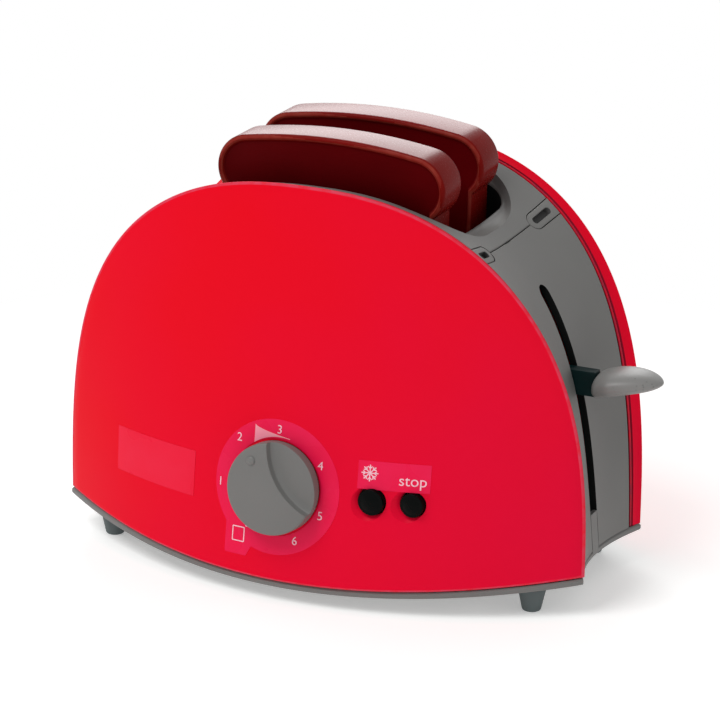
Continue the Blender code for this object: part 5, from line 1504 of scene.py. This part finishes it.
def softbox(name, target, turn, rise, distance, size, watts):
    light = bpy.data.lights.new(name, "AREA")
    light.shape, light.size, light.energy = "SQUARE", size, watts
    obj = bpy.data.objects.new(name, light)
    back = away(radians(turn), radians(rise))
    obj.location = target + back * distance
    obj.rotation_euler = (-back).to_track_quat("-Z", "Y").to_euler()
    bpy.context.scene.collection.objects.link(obj)


def make_stage(settings):
    body = Body(settings)
    scene = bpy.context.scene
    scene.view_settings.view_transform = "Standard"

    world = bpy.data.worlds.new("studio")
    scene.world = world
    world.use_nodes = True
    nodes = Nodes(world.node_tree)
    background = nodes.tree.nodes["Background"]
    background.inputs["Color"].default_value = (1, 1, 1, 1)
    strength = nodes.node("ShaderNodeMapRange", {}, {0: nodes.seen(), 3: WORLD_LIGHT, 4: 1.0})
    nodes.put(background.inputs["Strength"], strength)

    bm = bmesh.new()
    rows = [[bm.verts.new((x, y, 0)) for x, y in circle(48, reach)] for reach in (0.15, 0.4, 1.0, 3.0)]
    bm.faces.new(rows[0])
    for a, b in zip(rows, rows[1:]):
        for i in range(48):
            bm.faces.new((a[i], a[(i + 1) % 48], b[(i + 1) % 48], b[i]))
    floor = mesh_object("studio_floor", bm, None)
    look = Look("studio_floor_white", Base_Color=(0.93, 0.93, 0.92), Roughness=0.9, Specular_IOR_Level=0.0,
                Emission_Color=(1, 1, 1), Emission_Strength=FLOOR_LIGHT)
    glow = look.node("ShaderNodeEmission", {}, {"Color": (1, 1, 1, 1), "Strength": 1.0})
    reach = look.node("ShaderNodeVectorMath", {"operation": "LENGTH"}, {0: look.place()}, "Value")
    lit = Value(look, look.shader.outputs[0])
    mixed = look.node("ShaderNodeMixShader", {}, {0: reach.over(*FLOOR_FADE) * look.seen(), 1: lit, 2: glow})
    look.tree.links.new(mixed.socket, look.tree.nodes["Material Output"].inputs["Surface"])
    floor.data.materials.append(look.material)

    middle = body.place + Vector((0, 0, 0.05))
    softbox("key", middle, turn=-24, rise=54, distance=1.2, size=0.6, watts=6.6)
    softbox("back", middle, turn=-156, rise=28, distance=1.2, size=0.7, watts=5.0)

    camera_data = bpy.data.cameras.new("camera")
    camera_data.lens, camera_data.sensor_width = CAMERA_LENS, 36
    camera_data.clip_start, camera_data.clip_end = 0.01, 20
    camera = bpy.data.objects.new("camera", camera_data)
    scene.collection.objects.link(camera)
    back = away(CAMERA_TURN, CAMERA_RISE)
    right = Vector((cos(CAMERA_TURN), sin(CAMERA_TURN), 0))
    up = back.cross(right)
    c, s = cos(CAMERA_ROLL), sin(CAMERA_ROLL)
    right, up = c * right + s * up, c * up - s * right
    place = Vector(CAMERA_TARGET) + body.place + CAMERA_DISTANCE * back
    camera.matrix_world = Matrix([(*axes, 0) for axes in (right, up, back)] + [(*place, 1)]).transposed()
    scene.camera = camera


# Operators and panel

class TOASTER_OT_panels(bpy.types.Operator):
    """Make the two bowed red shells"""
    bl_idname = "toaster.panels"
    bl_label = "Red panels"

    def execute(self, context):
        make_panels(context.scene.toaster)
        return {"FINISHED"}


class TOASTER_OT_covers(bpy.types.Operator):
    """Make the dished roof and the two hollow end covers"""
    bl_idname = "toaster.covers"
    bl_label = "Grey covers"

    def execute(self, context):
        make_covers(context.scene.toaster)
        return {"FINISHED"}


class TOASTER_OT_clips(bpy.types.Operator):
    """Make the four slotted clips on the seams"""
    bl_idname = "toaster.clips"
    bl_label = "Cover clips"

    def execute(self, context):
        make_clips(context.scene.toaster)
        return {"FINISHED"}


class TOASTER_OT_base(bpy.types.Operator):
    """Make the base plate and its four feet"""
    bl_idname = "toaster.base"
    bl_label = "Base and feet"

    def execute(self, context):
        make_base(context.scene.toaster)
        make_feet(context.scene.toaster)
        return {"FINISHED"}


class TOASTER_OT_toast(bpy.types.Operator):
    """Make the two slices of toast"""
    bl_idname = "toaster.toast"
    bl_label = "Toast"

    def execute(self, context):
        make_toast(context.scene.toaster)
        return {"FINISHED"}


class TOASTER_OT_lever(bpy.types.Operator):
    """Make the rack under the toast, the lever's arm and its knob"""
    bl_idname = "toaster.lever"
    bl_label = "Rack and lever"

    def execute(self, context):
        make_rack(context.scene.toaster)
        make_knob(context.scene.toaster)
        return {"FINISHED"}


class TOASTER_OT_dial(bpy.types.Operator):
    """Make the timer's scooped dial"""
    bl_idname = "toaster.dial"
    bl_label = "Dial"

    def execute(self, context):
        make_dial(context.scene.toaster)
        return {"FINISHED"}


class TOASTER_OT_buttons(bpy.types.Operator):
    """Make the two black push buttons"""
    bl_idname = "toaster.buttons"
    bl_label = "Buttons"

    def execute(self, context):
        make_buttons(context.scene.toaster)
        return {"FINISHED"}


class TOASTER_OT_prints(bpy.types.Operator):
    """Lay the stickers and their print on the front panel"""
    bl_idname = "toaster.prints"
    bl_label = "Stickers"

    def execute(self, context):
        make_prints(context.scene.toaster)
        return {"FINISHED"}


class TOASTER_OT_works(bpy.types.Operator):
    """Give rods, springs, screws, clockwork and rockers their finishes"""
    bl_idname = "toaster.works"
    bl_label = "Inner works"

    def execute(self, context):
        make_works(context.scene.toaster)
        return {"FINISHED"}


class TOASTER_OT_stage(bpy.types.Operator):
    """Set up the white floor, the soft lights and the camera"""
    bl_idname = "toaster.stage"
    bl_label = "Studio"

    def execute(self, context):
        make_stage(context.scene.toaster)
        return {"FINISHED"}


OPERATORS = (TOASTER_OT_panels, TOASTER_OT_covers, TOASTER_OT_clips, TOASTER_OT_base, TOASTER_OT_toast,
             TOASTER_OT_lever, TOASTER_OT_dial, TOASTER_OT_buttons, TOASTER_OT_prints, TOASTER_OT_works,
             TOASTER_OT_stage)


class TOASTER_PT_sidebar(bpy.types.Panel):
    """The toaster's steps and sizes"""
    bl_idname = "TOASTER_PT_sidebar"
    bl_label = "Toy toaster"
    bl_space_type = "VIEW_3D"
    bl_region_type = "UI"
    bl_category = "Toaster"

    def draw(self, context):
        for operator in OPERATORS:
            self.layout.operator(operator.bl_idname)
        settings = context.scene.toaster
        for group in (settings.body, settings.roof, settings.toast, settings.lever, settings.controls,
                      settings.prints, settings.colours):
            box = self.layout.box()
            for name in group.bl_rna.properties.keys():
                if name not in ("rna_type", "name"):
                    box.prop(group, name)


CLASSES = (BodySizes, RoofSizes, ToastSizes, LeverSizes, ControlSizes, PrintSizes, Colours, ToasterSettings,
           *OPERATORS, TOASTER_PT_sidebar)


def register():
    for item in CLASSES:
        bpy.utils.register_class(item)
    bpy.types.Scene.toaster = PointerProperty(type=ToasterSettings)


def unregister():
    del bpy.types.Scene.toaster
    for item in reversed(CLASSES):
        bpy.utils.unregister_class(item)


def main():
    register()
    bpy.ops.toaster.panels()
    bpy.ops.toaster.covers()
    bpy.ops.toaster.clips()
    bpy.ops.toaster.base()
    bpy.ops.toaster.toast()
    bpy.ops.toaster.lever()
    bpy.ops.toaster.dial()
    bpy.ops.toaster.buttons()
    bpy.ops.toaster.prints()
    bpy.ops.toaster.works()
    bpy.ops.toaster.stage()


if __name__ == "__main__":
    main()
